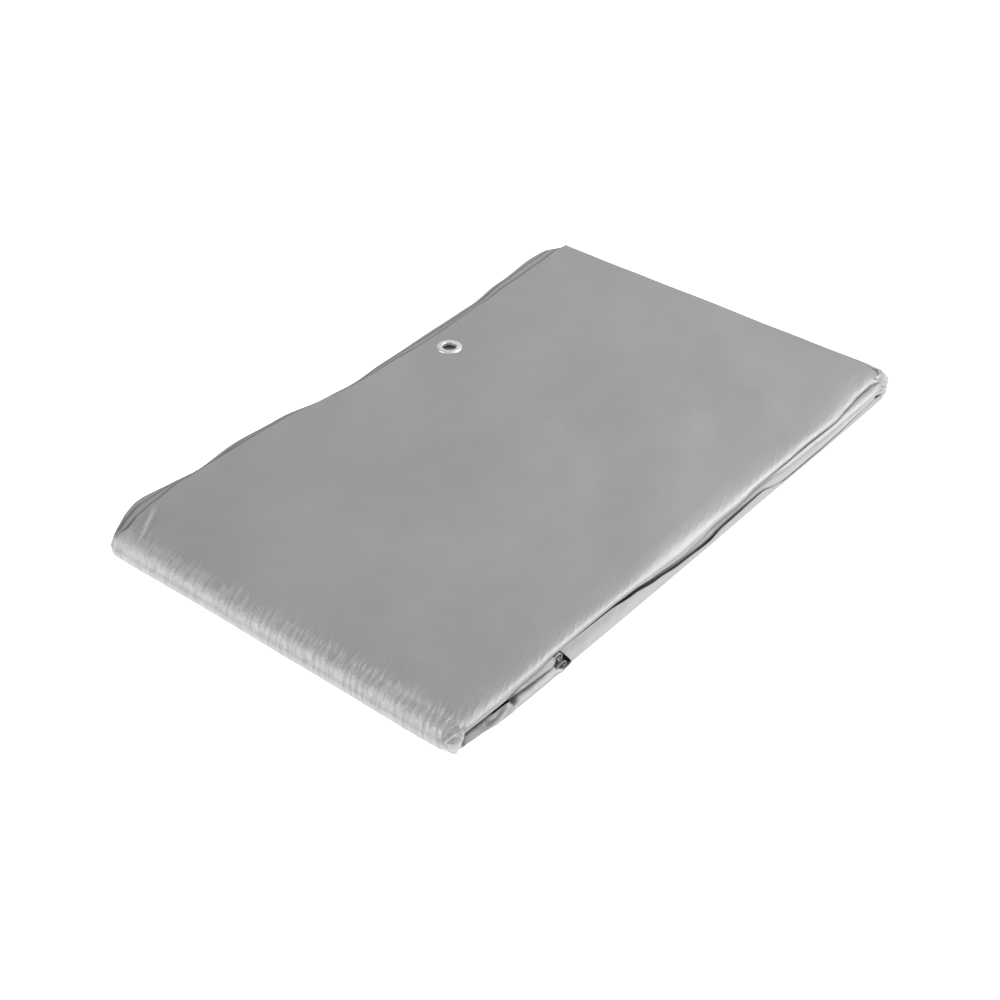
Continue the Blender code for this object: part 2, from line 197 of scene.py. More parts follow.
class SoftTable:
    """A table's columns as curves along the packet, softened where its rows meet."""

    STEP = 0.5

    def __init__(self, rows: Sequence[Any], softness: float) -> None:
        """Draws every column's curve.

        Args:
            rows: Rows of one dataclass with an x field, in order.
            softness: How far the rounding reaches along x, in millimetres.
        """
        self.kind = type(rows[0])
        self.places = np.arange(-340.0, 340.0, self.STEP)
        known = np.array([row.x for row in rows], dtype=float)
        index = np.interp(self.places, known, np.arange(len(known)))
        share = index % 1.0
        eased = np.floor(index) + share * share * (3.0 - 2.0 * share)
        self.curves = {
            entry.name: softened(
                np.interp(eased, np.arange(len(known)), [getattr(r, entry.name) for r in rows]),
                softness / self.STEP,
            )
            for entry in fields(self.kind)
            if entry.name != "x"
        }

    def at(self, x: float) -> Any:
        """The table's row at x."""
        values = {name: float(np.interp(x, self.places, c)) for name, c in self.curves.items()}
        return self.kind(x=x, **values)


@dataclass(frozen=True)
class Packet:
    """The packet's own sizes in millimetres, and its tables' place in the frame."""

    length: float = 619.0
    width: float = 396.0
    layers: int = 8
    layer_thickness: float = 1.6
    pitch: float = 2.8
    left_reach: float = 18.0
    left_step: float = 3.4
    right_reach: float = 5.0
    right_step: float = 3.0
    left_lean: float = 3.0
    right_lean: float = 4.7
    hem_width: float = 40.0
    hem_start: float = 3.0
    eyelet_x: float = 87.5
    eyelet_y: float = 343.6
    dent_radius: float = 26.0
    dent_depth: float = 1.3
    shift: tuple[float, float] = (0.0, 0.0)

    @property
    def half(self) -> float:
        """Half the packet's length."""
        return self.length / 2

    @property
    def left_x(self) -> float:
        """Where the layers pass into the folds at the left end."""
        return -self.half + self.layer_thickness / 2 + self.left_reach

    @property
    def right_x(self) -> float:
        """Where the layers pass into the small folds at the right end."""
        return self.half - self.layer_thickness / 2 - self.right_reach

    def level(self, layer: int) -> float:
        """Height of a layer's middle."""
        return self.layer_thickness / 2 + (layer - 1) * self.pitch

    def lean(self, x: Any) -> Any:
        """How far the ends lean over the full width, at x."""
        share = (x + self.half) / self.length
        return -self.left_lean + (self.left_lean - self.right_lean) * share

    def placed(self, points: np.ndarray) -> np.ndarray:
        """Places of the tables in the frame.

        Args:
            points: Millimetres of the tables, x, y and z along the last axis.

        Returns:
            Metres of the frame.
        """
        x, y, z = points[..., 0], points[..., 1], points[..., 2]
        x = x + self.lean(x) * y / self.width
        y = y - self.width / 2
        out = np.stack([x, y, z], axis=-1) * MM
        out[..., 0] += self.shift[0]
        out[..., 1] += self.shift[1]
        return out

    def dent(self, layer: int, x: np.ndarray, y: np.ndarray) -> np.ndarray:
        """How far the eyelet presses a layer under it down."""
        away = ((x - self.eyelet_x) ** 2 + (y - self.eyelet_y) ** 2) / self.dent_radius**2
        return self.dent_depth * (layer - 1) / (self.layers - 2) * np.exp(-away)


def packet_in_frame() -> Packet:
    """The packet with its tables shifted so that the eyelet is where its node is."""
    loose = Packet()
    low, high = (np.array(corner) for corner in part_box("eyelet"))
    table = loose.placed(np.array([loose.eyelet_x, loose.eyelet_y, 0.0]))
    middle = (low + high) / 2
    return Packet(shift=(float(middle[0] - table[0]), float(middle[1] - table[1])))


class Signal:
    """A shader socket on which Python's operators add Math nodes."""

    def __init__(self, graph: "Graph", socket: Any) -> None:
        """Wraps one output socket of a graph."""
        self.graph, self.socket = graph, socket

    def math(self, operation: str, *others: Any) -> "Signal":
        """The result of one Math node on this signal and others."""
        values = dict(enumerate((self, *others)))
        return self.graph.add("ShaderNodeMath", {"operation": operation}, values).out()

    def __add__(self, other: Any) -> "Signal":
        """Sum."""
        return self.math("ADD", other)

    __radd__ = __add__

    def __mul__(self, other: Any) -> "Signal":
        """Product."""
        return self.math("MULTIPLY", other)

    __rmul__ = __mul__

    def sine(self) -> "Signal":
        """Sine of the signal, in radians."""
        return self.math("SINE")

    def held(self, low: float, high: float) -> "Signal":
        """The signal from low to high, as a share from 0 to 1 that is held past both."""
        values = {0: self, 1: low, 2: high, 3: 0.0, 4: 1.0}
        settings = {"clamp": True, "interpolation_type": "SMOOTHSTEP"}
        return self.graph.add("ShaderNodeMapRange", settings, values).out()


class Made:
    """A node that has just been added to a graph."""

    def __init__(self, graph: "Graph", node: Any) -> None:
        """Wraps one node of a graph."""
        self.graph, self.node = graph, node

    def out(self, name: str | int = 0) -> Signal:
        """One of the node's outputs."""
        return Signal(self.graph, self.node.outputs[name])


class Graph:
    """The nodes of one material round its Principled shader."""

    def __init__(self, name: str) -> None:
        """Makes a material with only a Principled shader."""
        self.material = bpy.data.materials.new(name)
        self.material.use_nodes = True
        self.tree = self.material.node_tree
        self.shader = self.tree.nodes["Principled BSDF"]

    def add(self, kind: str, settings: dict[str, Any], values: dict[Any, Any]) -> Made:
        """Adds a node.

        Args:
            kind: The node's type.
            settings: Its own settings.
            values: Its inputs by name or number, each a value or a signal.

        Returns:
            The node, ready to take outputs from.
        """
        node = self.tree.nodes.new(kind)
        for name, value in settings.items():
            setattr(node, name, value)
        for name, value in values.items():
            self.feed(node.inputs[name], value)
        return Made(self, node)

    def feed(self, socket: Any, value: Any) -> None:
        """Sets a socket to a value, or links a signal to it."""
        if isinstance(value, Signal):
            self.tree.links.new(value.socket, socket)
        else:
            socket.default_value = value

    def set(self, **values: Any) -> None:
        """Sets or links the shader's inputs, whose names are given with _ for a space."""
        for name, value in values.items():
            self.feed(self.shader.inputs[name.replace("_", " ")], value)

    def noise(self, where: Signal, scale: float, detail: float, rough: float = 0.5) -> Signal:
        """Soft noise from 0 to 1."""
        values = {"Vector": where, "Scale": scale, "Detail": detail, "Roughness": rough}
        return self.add("ShaderNodeTexNoise", {"noise_dimensions": "3D"}, values).out("Fac")

    def turned(self, where: Signal, turn_deg: float, scale: Sequence[float]) -> Signal:
        """Coordinates turned about the cloth's face, and stretched."""
        values = {
            "Vector": where,
            "Rotation": (0.0, 0.0, math.radians(turn_deg)),
            "Scale": tuple(scale),
        }
        return self.add("ShaderNodeMapping", {"vector_type": "TEXTURE"}, values).out()

    def tinted(self, colour: Any, other: Sequence[float], share: Signal) -> Signal:
        """A colour, or a signal of one, mixed with another colour."""
        first = colour if isinstance(colour, Signal) else (*colour, 1.0)
        settings = {"data_type": "RGBA", "blend_type": "MIX"}
        values = {0: share, 6: first, 7: (*other, 1.0)}
        return self.add("ShaderNodeMix", settings, values).out(2)

    def bump(self, height: Signal, strength: float = 1.0) -> Signal:
        """A normal from a height in metres."""
        values = {"Strength": strength, "Distance": 1.0, "Height": height}
        return self.add("ShaderNodeBump", {}, values).out()


@dataclass(frozen=True)
class SilverSheet:
    """Woven plastic sheet with a silver coating, rubbed and crinkled along its folds; its lighter rubbed
    colour is partly a painted highlight, and painted shade darkens it where plies lie in shadow.
    """

    name: str = "silver_sheet_finish"
    light: tuple[float, float, float] = (0.418, 0.424, 0.43)
    dark: tuple[float, float, float] = (0.378, 0.386, 0.393)
    # Lighter colour of rubbed folds, which also serves as a painted highlight on folds, curls and the
    # corner cap.
    rubbed: tuple[float, float, float] = (0.50, 0.505, 0.51)
    # Painted shade: the near-black colour mixed in where the cloth lies in shadow.
    dirt: tuple[float, float, float] = (0.05, 0.05, 0.052)
    metallic: float = 0.6
    roughness: float = 0.40
    weave: float = 0.0025
    weave_height: float = 0.000009
    streak_height: float = 0.00022
    crinkle_height: float = 0.00016

    def material(self) -> bpy.types.Material:
        """The finish as a material, which reads the Strip map, the attribute of wear and painted highlight,
        and the attribute of painted shade.

        Returns:
            The material.
        """
        graph = Graph(self.name)
        strip = graph.add("ShaderNodeUVMap", {"uv_map": "Strip"}, {}).out()
        # This attribute raises the crinkles and lightens the colour, partly as real rubbing and partly as a
        # painted highlight.
        worn = graph.add("ShaderNodeAttribute", {"attribute_name": "Worn"}, {}).out("Fac")
        # Painted shade: this attribute darkens the colour under the lip's edge, beside the hems above,
        # inside the hidden plies and along the outer edges.
        grime = graph.add("ShaderNodeAttribute", {"attribute_name": "Grime"}, {}).out("Fac")
        parts = graph.add("ShaderNodeSeparateXYZ", {}, {0: strip})
        across, along = parts.out(0), parts.out(1)
        tape = math.pi / self.weave
        over = (across * tape).sine() * (along * tape).sine()
        cloud = graph.noise(graph.turned(strip, 30.0, (1.0, 0.55, 1.0)), 7.0, 3.0)
        patch = graph.noise(strip, 38.0, 2.0)
        grain = graph.noise(strip, 900.0, 2.0)
        streak = graph.noise(graph.turned(strip, 22.0, (1.0, 0.16, 1.0)), 55.0, 1.5)
        crinkle = graph.noise(graph.turned(strip, 35.0, (0.35, 1.0, 1.0)), 170.0, 5.0, 0.65)
        # Share of the lighter colour: streaks along the left fold and most of the curls and cap, partly a
        # painted highlight.
        wear_and_highlight_share = (streak + worn * 0.42).held(0.76, 1.02)
        shade = cloud.held(0.30, 0.70) * 0.75 + patch.held(0.35, 0.65) * 0.25
        height = over * self.weave_height + grain * 0.00001
        height = height + worn * streak.held(0.36, 0.68) * self.streak_height
        height = height + worn * crinkle.held(0.35, 0.70) * self.crinkle_height
        colour = graph.tinted(graph.tinted(self.dark, self.light, shade), self.rubbed, wear_and_highlight_share)
        # The base colour is darkened towards the painted shade colour by the shade attribute.
        graph.set(
            Base_Color=graph.tinted(colour, self.dirt, grime * 0.85),
            Metallic=self.metallic,
            Roughness=patch * 0.08 + grain * 0.05 + (self.roughness - 0.065),
            Normal=graph.bump(height),
            Specular_IOR_Level=0.4,
        )
        return graph.material


@dataclass(frozen=True)
class BrightZinc:
    """Zinc-plated steel, polished by the press, with fine scratches."""

    name: str = "bright_zinc_finish"
    colour: tuple[float, float, float] = (0.86, 0.865, 0.87)
    dull: tuple[float, float, float] = (0.76, 0.765, 0.77)

    def material(self) -> bpy.types.Material:
        """The finish as a material.

        Returns:
            The material.
        """
        graph = Graph(self.name)
        where = graph.add("ShaderNodeTexCoord", {}, {}).out("Object")
        scuff = graph.noise(graph.turned(where, 25.0, (0.2, 1.0, 1.0)), 900.0, 3.0)
        cloud = graph.noise(where, 160.0, 2.0)
        graph.set(
            Base_Color=graph.tinted(self.dull, self.colour, cloud.held(0.25, 0.6)),
            Metallic=0.72,
            Roughness=scuff * 0.12 + 0.22,
            Normal=graph.bump(scuff * 0.000008),
        )
        return graph.material


@dataclass(frozen=True)
class PaleFloor:
    """Plain white studio floor, lit a little from below as a product table is."""

    name: str = "pale_floor_finish"
    glow: float = 0.8

    def material(self) -> bpy.types.Material:
        """The finish as a material.

        Returns:
            The material.
        """
        graph = Graph(self.name)
        where = graph.add("ShaderNodeTexCoord", {}, {}).out("Object")
        cloud = graph.noise(where, 1.5, 2.0)
        graph.set(
            Base_Color=graph.tinted((0.90, 0.90, 0.90), (0.92, 0.92, 0.92), cloud),
            Roughness=0.9,
            Emission_Color=(1.0, 1.0, 1.0, 1.0),
            Emission_Strength=self.glow,
        )
        return graph.material


def dressed(
    name: str, shape: bmesh.types.BMesh, finish: bpy.types.Material
) -> bpy.types.Object:
    """A smooth object in the scene, made of a bmesh that is then freed.

    Args:
        name: The object's name.
        shape: Its shape.
        finish: Its material.

    Returns:
        The object, at the origin.
    """
    mesh = bpy.data.meshes.new(name)
    shape.to_mesh(mesh)
    shape.free()
    mesh.shade_smooth()
    mesh.materials.append(finish)
    piece = bpy.data.objects.new(name, mesh)
    bpy.context.scene.collection.objects.link(piece)
    return piece


@dataclass
class ClothGrid:
    """A sheet of cloth as a grid of places of the tables, by rows and columns.

    Attributes:
        points: Places in millimetres, rows by columns by three.
        strip: Where each lies on the flat cloth, in metres, rows by columns by two.
        worn: How creased and rubbed the cloth is there, from 0 to 1, which also lightens it as a painted
            highlight.
        full: Share of the thickness that the cloth has there.
        grime: How far painted shade darkens it there, from 0 to 1.
    """

    points: np.ndarray
    strip: np.ndarray
    worn: np.ndarray
    full: np.ndarray
    grime: np.ndarray

    @staticmethod
    def through(points: np.ndarray, worn: float) -> "ClothGrid":
        """A grid that measures its own flat places.

        Args:
            points: Places in millimetres, rows by columns by three.
            worn: How creased and rubbed the cloth is, which also lightens it as a painted highlight.

        Returns:
            The grid.
        """
        down = np.linalg.norm(np.diff(points, axis=0), axis=2).cumsum(axis=0)
        right = np.linalg.norm(np.diff(points, axis=1), axis=2).cumsum(axis=1)
        down = np.vstack([np.zeros((1, points.shape[1])), down])
        right = np.hstack([np.zeros((points.shape[0], 1)), right])
        strip = np.stack([right, down], axis=-1) * MM
        shape = points.shape[:2]
        return ClothGrid(points, strip, np.full(shape, worn), np.ones(shape), np.zeros(shape))

    def normals(self) -> np.ndarray:
        """Unit normals of the grid's face."""
        across = np.gradient(self.points, axis=1)
        down = np.gradient(self.points, axis=0)
        normal = np.cross(across, down)
        length = np.linalg.norm(normal, axis=-1, keepdims=True)
        return normal / np.maximum(length, 1e-9)


@dataclass(frozen=True)
class Bore:
    """A round opening through the top of the packet, in the tables' millimetres."""

    x: float
    y: float
    above: float
    radius: float = 8.6
    finer: float = 2.4
    moved: float = 1.35

    def cut(self, mesh: bmesh.types.BMesh, packet: Packet) -> None:
        """Opens the cloth round the bore.

        Args:
            mesh: The cloth, still without its thickness.
            packet: The packet that places the tables in the frame.
        """
        middle = Vector(packet.placed(np.array([self.x, self.y, self.above])))
        radius = self.radius * MM

        def away(place: Vector) -> float:
            """Distance from the bore's axis."""
            return (place - middle).xy.length

        near = [
            face
            for face in mesh.faces
            if face.calc_center_median().z > middle.z
            and away(face.calc_center_median()) < self.finer * radius
        ]
        edges = list({edge for face in near for edge in face.edges})
        bmesh.ops.subdivide_edges(mesh, edges=edges, cuts=3, use_grid_fill=True)
        inside = [
            face
            for face in mesh.faces
            if face.calc_center_median().z > middle.z
            and away(face.calc_center_median()) < radius
        ]
        bmesh.ops.delete(mesh, geom=inside, context="FACES")
        for vert in mesh.verts:
            near_edge = away(vert.co) < self.moved * radius
            if vert.is_boundary and vert.co.z > middle.z and near_edge:
                out = (vert.co - middle).xy.normalized() * radius
                vert.co.x, vert.co.y = middle.x + out.x, middle.y + out.y


@dataclass
class Cloth:
    """One piece of cloth, made of one or more grids."""

    name: str
    packet: Packet
    thickness: float
    finish: bpy.types.Material
    rim: float = 0.0
    bore: Bore | None = None
    slot: str = "silver_sheet"
    mesh: bmesh.types.BMesh = field(default_factory=bmesh.new)

    def lay(self, cloth: ClothGrid) -> None:
        """Adds a grid of cloth to the piece.

        Args:
            cloth: The grid.
        """
        rows, columns = cloth.points.shape[:2]
        places = self.packet.placed(cloth.points)
        mesh = self.mesh
        strip = mesh.loops.layers.uv.get("Strip") or mesh.loops.layers.uv.new("Strip")
        worn = mesh.verts.layers.float.get("Worn") or mesh.verts.layers.float.new("Worn")
        # This attribute carries the painted shade to the material.
        grime = mesh.verts.layers.float.get("Grime") or mesh.verts.layers.float.new("Grime")
        full = mesh.verts.layers.deform.verify()
        made = bmesh.ops.create_grid(
            mesh, x_segments=columns - 1, y_segments=rows - 1, size=1.0
        )["verts"]
        for vert in made:
            column = round((vert.co.x + 1) / 2 * (columns - 1))
            row = round((vert.co.y + 1) / 2 * (rows - 1))
            vert.co = places[row, column]
            vert[worn] = cloth.worn[row, column]
            vert[grime] = cloth.grime[row, column]
            vert[full][0] = cloth.full[row, column]
            for loop in vert.link_loops:
                loop[strip].uv = cloth.strip[row, column]

    def finished(self, *replaced: str) -> bpy.types.Object:
        """Gives the piece its thickness, rounded rims and finish.

        Args:
            replaced: The CAD nodes that it stands for.

        Returns:
            The piece.
        """
        if self.bore:
            self.bore.cut(self.mesh, self.packet)
        bmesh.ops.recalc_face_normals(self.mesh, faces=self.mesh.faces)
        piece = dressed(self.name, self.mesh, self.finish)
        piece.vertex_groups.new(name="Full")
        skin = piece.modifiers.new("Thickness", "SOLIDIFY")
        skin.thickness = self.thickness * MM
        skin.offset = 0.0
        skin.vertex_group = "Full"
        if self.rim:
            rim = piece.modifiers.new("Rim", "BEVEL")
            rim.width = self.rim * MM
            rim.segments = 2
            rim.limit_method = "ANGLE"
            rim.angle_limit = math.radians(50)
        if replaced:
            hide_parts(*replaced)
        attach(piece, "root")
        LOG.info("%s: %d faces before its thickness", piece.name, len(piece.data.polygons))
        return piece


@dataclass
class Column:
    """One section of the folded strip, from the front side to the hem."""

    x: float
    z: float
    inward: tuple[float, float]
    front: FrontRow
    bend: Bend
    hem: float
    layer: int
    fold: float


@dataclass
class FoldedSheet:
    """The tarp's sheet: one strip, back and forth through the packet's eight layers."""

    packet: Packet
    finish: bpy.types.Material
    name: str = "folded_sheet"
    flat: tuple[float, float] = (0.39, 4.96)
    edge_rows: int = 8
    bend_rows: int = 9
    level_rows: int = 3
    body_rows: int = 42
    hem_rows: int = 3
    rim_rows: int = 13
    rim_width: float = 24.0
    top_spacing: float = 5.5
    flap_spacing: float = 8.6
    third_spacing: float = 8.6
    tab_spacing: float = 7.0
    recess_spacing: float = 3.0
    inner_spacing: float = 42.0
    fine_end: float = -252.0
    fine_spacing: float = 2.2
    skin_share: float = 0.25
    calm_radius: float = 26.0
    # These set the painted shade: lines beside the hems above, shade below the lip's edge, lines along the
    # outer edges and the hidden plies.
    hidden_width: float = 2.2
    grime_width: float = 1.7
    sight_fall: float = 1.146
    rim_shade: float = 0.8
    tab_start: float = -165.0
    hidden_depth: float = 22.0
    hidden_run: float = 6.0
    edge_share: float = 0.45
    edge_run: float = 5.0
    flat_row: int = -20
    left_start: float = -291.0
    # Where the cloth is rubbed and lightened with a painted highlight: along the left fold, near the lip
    # and on the front plies.
    worn_left: float = 13.0
    worn_lip: tuple[float, float] = (14.0, 0.34)
    worn_front: tuple[float, float] = (14.0, 0.4)
    worn_least: float = 0.04
    outer_steps: int = 24
    inner_steps: int = 8
    tuck_below: float = 0.7
    tuck_above: float = 2.0
    foot_height: float = 1.6
    foot_run: float = 3.0
    wall_depth: float = 12.0
    shade_above: float = 5.0
    grime_back: float = 3.0
    bows: Sequence[tuple[float, float, float]] = ((0.5, 61.0, 0.8), (0.25, 23.0, 0.0))
    bow_share: float = 0.6
    bow_fade: float = 30.0
    bow_end: float = 360.0
    # Painted shade under the lip's edge: each row gives x, the shade's width and its strength.
    shades: Sequence[tuple[float, float, float]] = (
        (-292, 40.0, 1.0), (-289.6, 40.0, 1.0), (-287.4, 4.6, 1.0), (-264, 4.4, 1.0),
        (-252, 2.6, 0.8), (-215, 2.0, 0.8), (-180, 0.8, 0.8), (-60, 1.2, 0.8), (-20, 2.4, 0.6),
        (60, 4.2, 0.62), (105, 3.4, 0.62), (135, 1.6, 0.6), (309, 1.0, 0.8),
    )
    lip: Sequence[FrontRow] = (
        # Each row gives x, inset, sink, reach and lean.
        FrontRow(-291, 1.5, 0.8, 3.9, 0.3),
        FrontRow(-266, 1.5, 0.8, 4.9, 0.3),
        FrontRow(-249, 1.4, 0.9, 5.2, 0.3),
        FrontRow(-232, 2.2, 0.6, 3.6, 0.4),
        FrontRow(-210, 2.5, 0.6, 3.5, 0.4),
        FrontRow(-190, 3.8, 0.4, 2.8, 0.4),
        FrontRow(-150, 4.0, 0.4, 2.7, 0.4),
        FrontRow(-113, 4.0, 0.4, 2.7, 0.4),
        FrontRow(-88, 3.5, 0.6, 3.5, 0.4),
        FrontRow(-60, 2.4, 1.2, 5.3, 0.3),
        FrontRow(-25, 1.3, 1.8, 7.0, 0.2),
        FrontRow(1, 1.8, 1.4, 5.8, 0.3),
        FrontRow(22, 2.8, 0.9, 4.0, 0.4),
        FrontRow(60, 2.6, 0.8, 3.8, 0.4),
        FrontRow(89, 4.2, 0.5, 2.8, 0.4),
        FrontRow(136, 4.4, 0.5, 2.7, 0.4),
        FrontRow(165, 5.0, 0.4, 2.5, 0.4),
        FrontRow(215, 4.2, 0.6, 3.3, 0.4),
        FrontRow(240, 7.0, 0.4, 2.6, 0.4),
        FrontRow(262, 9.6, 0.4, 2.5, 0.4),
        FrontRow(284, 10.4, 0.4, 2.5, 0.4),
        FrontRow(296, 7.4, 1.0, 4.2, 0.4),
        FrontRow(309, 15.0, 1.0, 3.6, 0.4),
    )
    flap: Sequence[FrontRow] = (
        # Each row gives x, inset, sink, reach and lean.
        FrontRow(-291, 12.0, 0.2, 1.0, 0.0),
        FrontRow(-268, 12.0, 1.5, 2.0, 0.0),
        FrontRow(-250, 8.4, 3.6, 4.2, -5.2),
        FrontRow(-232, 8.0, 4.6, 5.9, -5.4),
        FrontRow(-212, 6.8, 3.0, 7.6, -4.6),
        FrontRow(-187, 6.4, 0.4, 9.6, -3.6),
        FrontRow(-176, 7.6, 0.4, 9.0, 0.0),
        FrontRow(-113, 7.6, 0.6, 9.0, 0.0),
        FrontRow(-77, 5.6, 1.4, 10.0, 0.0),
        FrontRow(-50, 4.2, 2.0, 12.6, -0.2),
        FrontRow(-18, 3.5, 2.0, 13.6, 0.0),
        FrontRow(4, 3.6, 1.6, 13.6, 0.0),
        FrontRow(60, 4.0, 1.4, 13.4, 0.2),
        FrontRow(96, 4.4, 1.4, 13.0, -0.4),
        FrontRow(114, 3.6, 1.8, 12.8, -0.8),
        FrontRow(130, 2.2, 2.6, 12.6, -0.8),
        FrontRow(182, 1.6, 3.0, 12.0, -0.4),
        FrontRow(215, 1.4, 2.8, 10.7, -0.2),
        FrontRow(238, 1.6, 2.4, 8.4, -0.4),
        FrontRow(277, 2.0, 1.8, 5.8, -0.4),
        FrontRow(290, 4.0, 1.2, 3.4, 0.4),
        FrontRow(309, 15.0, 0.2, 1.0, 0.0),
    )
    tab: Sequence[FrontRow] = (
        # Each row gives x, inset, sink, reach and lean.
        FrontRow(-291, 3.6, 0.0, 6.4, 9.0),
        FrontRow(-273, 2.0, 0.0, 6.8, 11.0),
        FrontRow(-266, 1.0, 0.0, 7.4, 9.4),
        FrontRow(-257, -0.4, 0.0, 9.2, 4.0),
        FrontRow(-244, -1.0, 0.0, 10.4, 3.4),
        FrontRow(-240, -1.2, 0.0, 8.8, 4.0),
        FrontRow(-236, -1.0, 0.0, 6.4, 13.0),
        FrontRow(-215, -1.2, 0.0, 6.2, 13.6),
        FrontRow(-200, -1.4, 0.0, 6.4, 13.6),
        FrontRow(-188, -1.2, 0.0, 6.4, 12.8),
        FrontRow(-184, -1.2, 0.0, 2.6, 3.0),
        FrontRow(-180, -1.0, 0.0, 1.0, 0.6),
        FrontRow(-171, -0.4, 0.0, 1.0, 0.6),
        FrontRow(-165, 2.2, 0.0, 9.0, 3.0),
        FrontRow(-120, 2.0, 0.0, 12.0, 2.6),
        FrontRow(-88, 2.2, 0.0, 11.0, 1.6),
        FrontRow(-60, 2.2, 0.0, 7.6, 0.8),
        FrontRow(-38, 2.8, 0.0, 0.8, 0.2),
        FrontRow(96, 3.4, 0.0, 0.8, 0.2),
        FrontRow(114, 4.0, 0.0, 0.8, 0.2),
        FrontRow(130, 4.2, 0.0, 0.8, 0.2),
        FrontRow(182, 4.4, 0.0, 0.8, 0.2),
        FrontRow(215, 4.6, 0.0, 1.6, 0.4),
        FrontRow(248, 4.6, 0.0, 3.8, 0.8),
        FrontRow(277, 5.0, 0.0, 5.2, 1.6),
        FrontRow(292, 5.6, 0.0, 2.4, 1.2),
        FrontRow(304, 6.0, 0.0, 0.8, 0.4),
    )
    top_hem: Sequence[HemRow] = (
        # Each row gives x and y.
        HemRow(-294, 364.6), HemRow(-272, 371.6), HemRow(-257, 374.6), HemRow(-220, 379.5),
        HemRow(-134, 380.2), HemRow(-100, 379.0), HemRow(-60, 374.0), HemRow(-35, 368.8),
        HemRow(-10, 367.0), HemRow(34, 368.4), HemRow(75, 366.9), HemRow(159, 370.0),
        HemRow(211, 374.8), HemRow(263, 378.0), HemRow(293, 380.6), HemRow(309, 379.4),
    )
    second_hem: Sequence[HemRow] = (
        # Each row gives x and y.
        HemRow(-294, 371.2), HemRow(-279, 378.6), HemRow(-262, 384.0), HemRow(-220, 385.2),
        HemRow(-184, 382.6), HemRow(-134, 386.4), HemRow(-96, 383.4), HemRow(-50, 376.6),
        HemRow(-16, 371.8), HemRow(34, 374.6), HemRow(109, 375.0), HemRow(159, 376.6),
        HemRow(211, 383.6), HemRow(263, 387.4), HemRow(290, 388.6), HemRow(309, 380.0),
    )
    third_hem: Sequence[HemRow] = (
        # Each row gives x and y.
        HemRow(-294, 376.5), HemRow(-277, 386.6), HemRow(-267, 390.6), HemRow(-258, 393.6),
        HemRow(-251, 393.9), HemRow(-245, 393.2), HemRow(-239, 392.5), HemRow(-233, 391.5),
        HemRow(-220, 389.8), HemRow(-196, 386.8), HemRow(-148, 391.8), HemRow(-96, 388.8),
        HemRow(-44, 379.6), HemRow(-13, 376.6), HemRow(34, 379.6), HemRow(109, 382.2),
        HemRow(159, 383.4), HemRow(211, 390.0), HemRow(271, 396.0), HemRow(290, 395.4),
        HemRow(303, 388.0),
    )
    inner_hems: dict[int, Sequence[HemRow]] = field(
        default_factory=lambda: {
            5: (HemRow(-291, 360.0), HemRow(-20, 371.0), HemRow(303, 386.0)),
            4: (HemRow(-291, 356.0), HemRow(40, 374.0), HemRow(303, 388.0)),
            3: (HemRow(-291, 369.0), HemRow(-60, 372.0), HemRow(303, 384.0)),
            2: (HemRow(-291, 362.0), HemRow(60, 375.0), HemRow(303, 387.0)),
            1: (HemRow(-291, 353.0), HemRow(0, 373.0), HemRow(303, 383.0)),
        }
    )
    swells: Sequence[Swell] = (
        # Each row gives the direction in degrees, length, height and phase.
        Swell(12, 210, 0.30, 0.4),
        Swell(-38, 118, 0.22, 1.9),
        Swell(64, 84, 0.13, 3.1),
        Swell(-70, 57, 0.08, 0.9),
        Swell(31, 37, 0.04, 2.2),
    )
    top_creases: Sequence[Crease] = (
        # Each row gives x1, y1, x2, y2, width and height.
        Crease(-290, 350, -256, 370, 2.0, 1.0),
        Crease(-290, 346, -256, 366, 2.2, -0.6),
        Crease(284, 21, 274, 9, 2.2, 1.1),
        Crease(279, 24, 270, 12, 3.0, -0.6),
        Crease(306, 17, 295, 7, 2.4, 1.0),
        Crease(120, 60, 205, 150, 14, -0.5),
        Crease(90, 110, 150, 190, 16, 0.35),
        Crease(190, 60, 240, 140, 13, 0.4),
        Crease(-60, 70, 40, 130, 15, -0.3),
        Crease(-200, 60, -120, 110, 17, 0.3),
    )
    wall_creases: Sequence[Crease] = (
        # Each row gives x1, y1, x2, y2, width and height.
        Crease(-298, 2.2, -266, 4.4, 1.3, 0.8),
        Crease(-263, 1.5, -243, 9.0, 2.0, 1.6),
        Crease(-268, 1.5, -249, 9.0, 1.8, -1.0),
        Crease(-253, 0.5, -239, 8.0, 1.8, -1.1),
        Crease(-246, 0.5, -237, 8.0, 1.6, 0.8),
        Crease(-238, 0.0, -230, 9.5, 2.0, -3.0),
        Crease(-222, 0.5, -206, 3.0, 1.6, 0.6),
        Crease(-204, 1.0, -190, 2.5, 1.4, 0.5),
    )
    fold_creases: Sequence[Crease] = (
        # Each row gives x1, y1, x2, y2, width and height.
        Crease(21, 17, 3, 12, 0.7, 0.5, crisp=True),
        Crease(21, 24, 2, 18, 0.8, 0.5, crisp=True),
        Crease(21, 30, 5, 25, 0.7, -0.4, crisp=True),
        Crease(21, 39, 4, 31, 0.8, 0.4, crisp=True),
        Crease(20, 52, 4, 45, 0.9, 0.35, crisp=True),
        Crease(20, 66, 6, 58, 0.9, -0.3, crisp=True),
        Crease(20, 85, 4, 78, 1.0, 0.3, crisp=True),
        Crease(20, 128, 6, 120, 1.2, 0.25, crisp=True),
        Crease(20, 171, 6, 164, 1.2, 0.25, crisp=True),
        Crease(20, 236, 6, 226, 1.3, 0.25, crisp=True),
        Crease(20, 300, 6, 292, 1.3, 0.25, crisp=True),
    )
    fold_bulge: Sequence[float] = (0.0, -3.8, 0.0, 2.6)
    lip_bend: Bend = Bend(run=19.0, round_in=13.0, round_out=0.92)
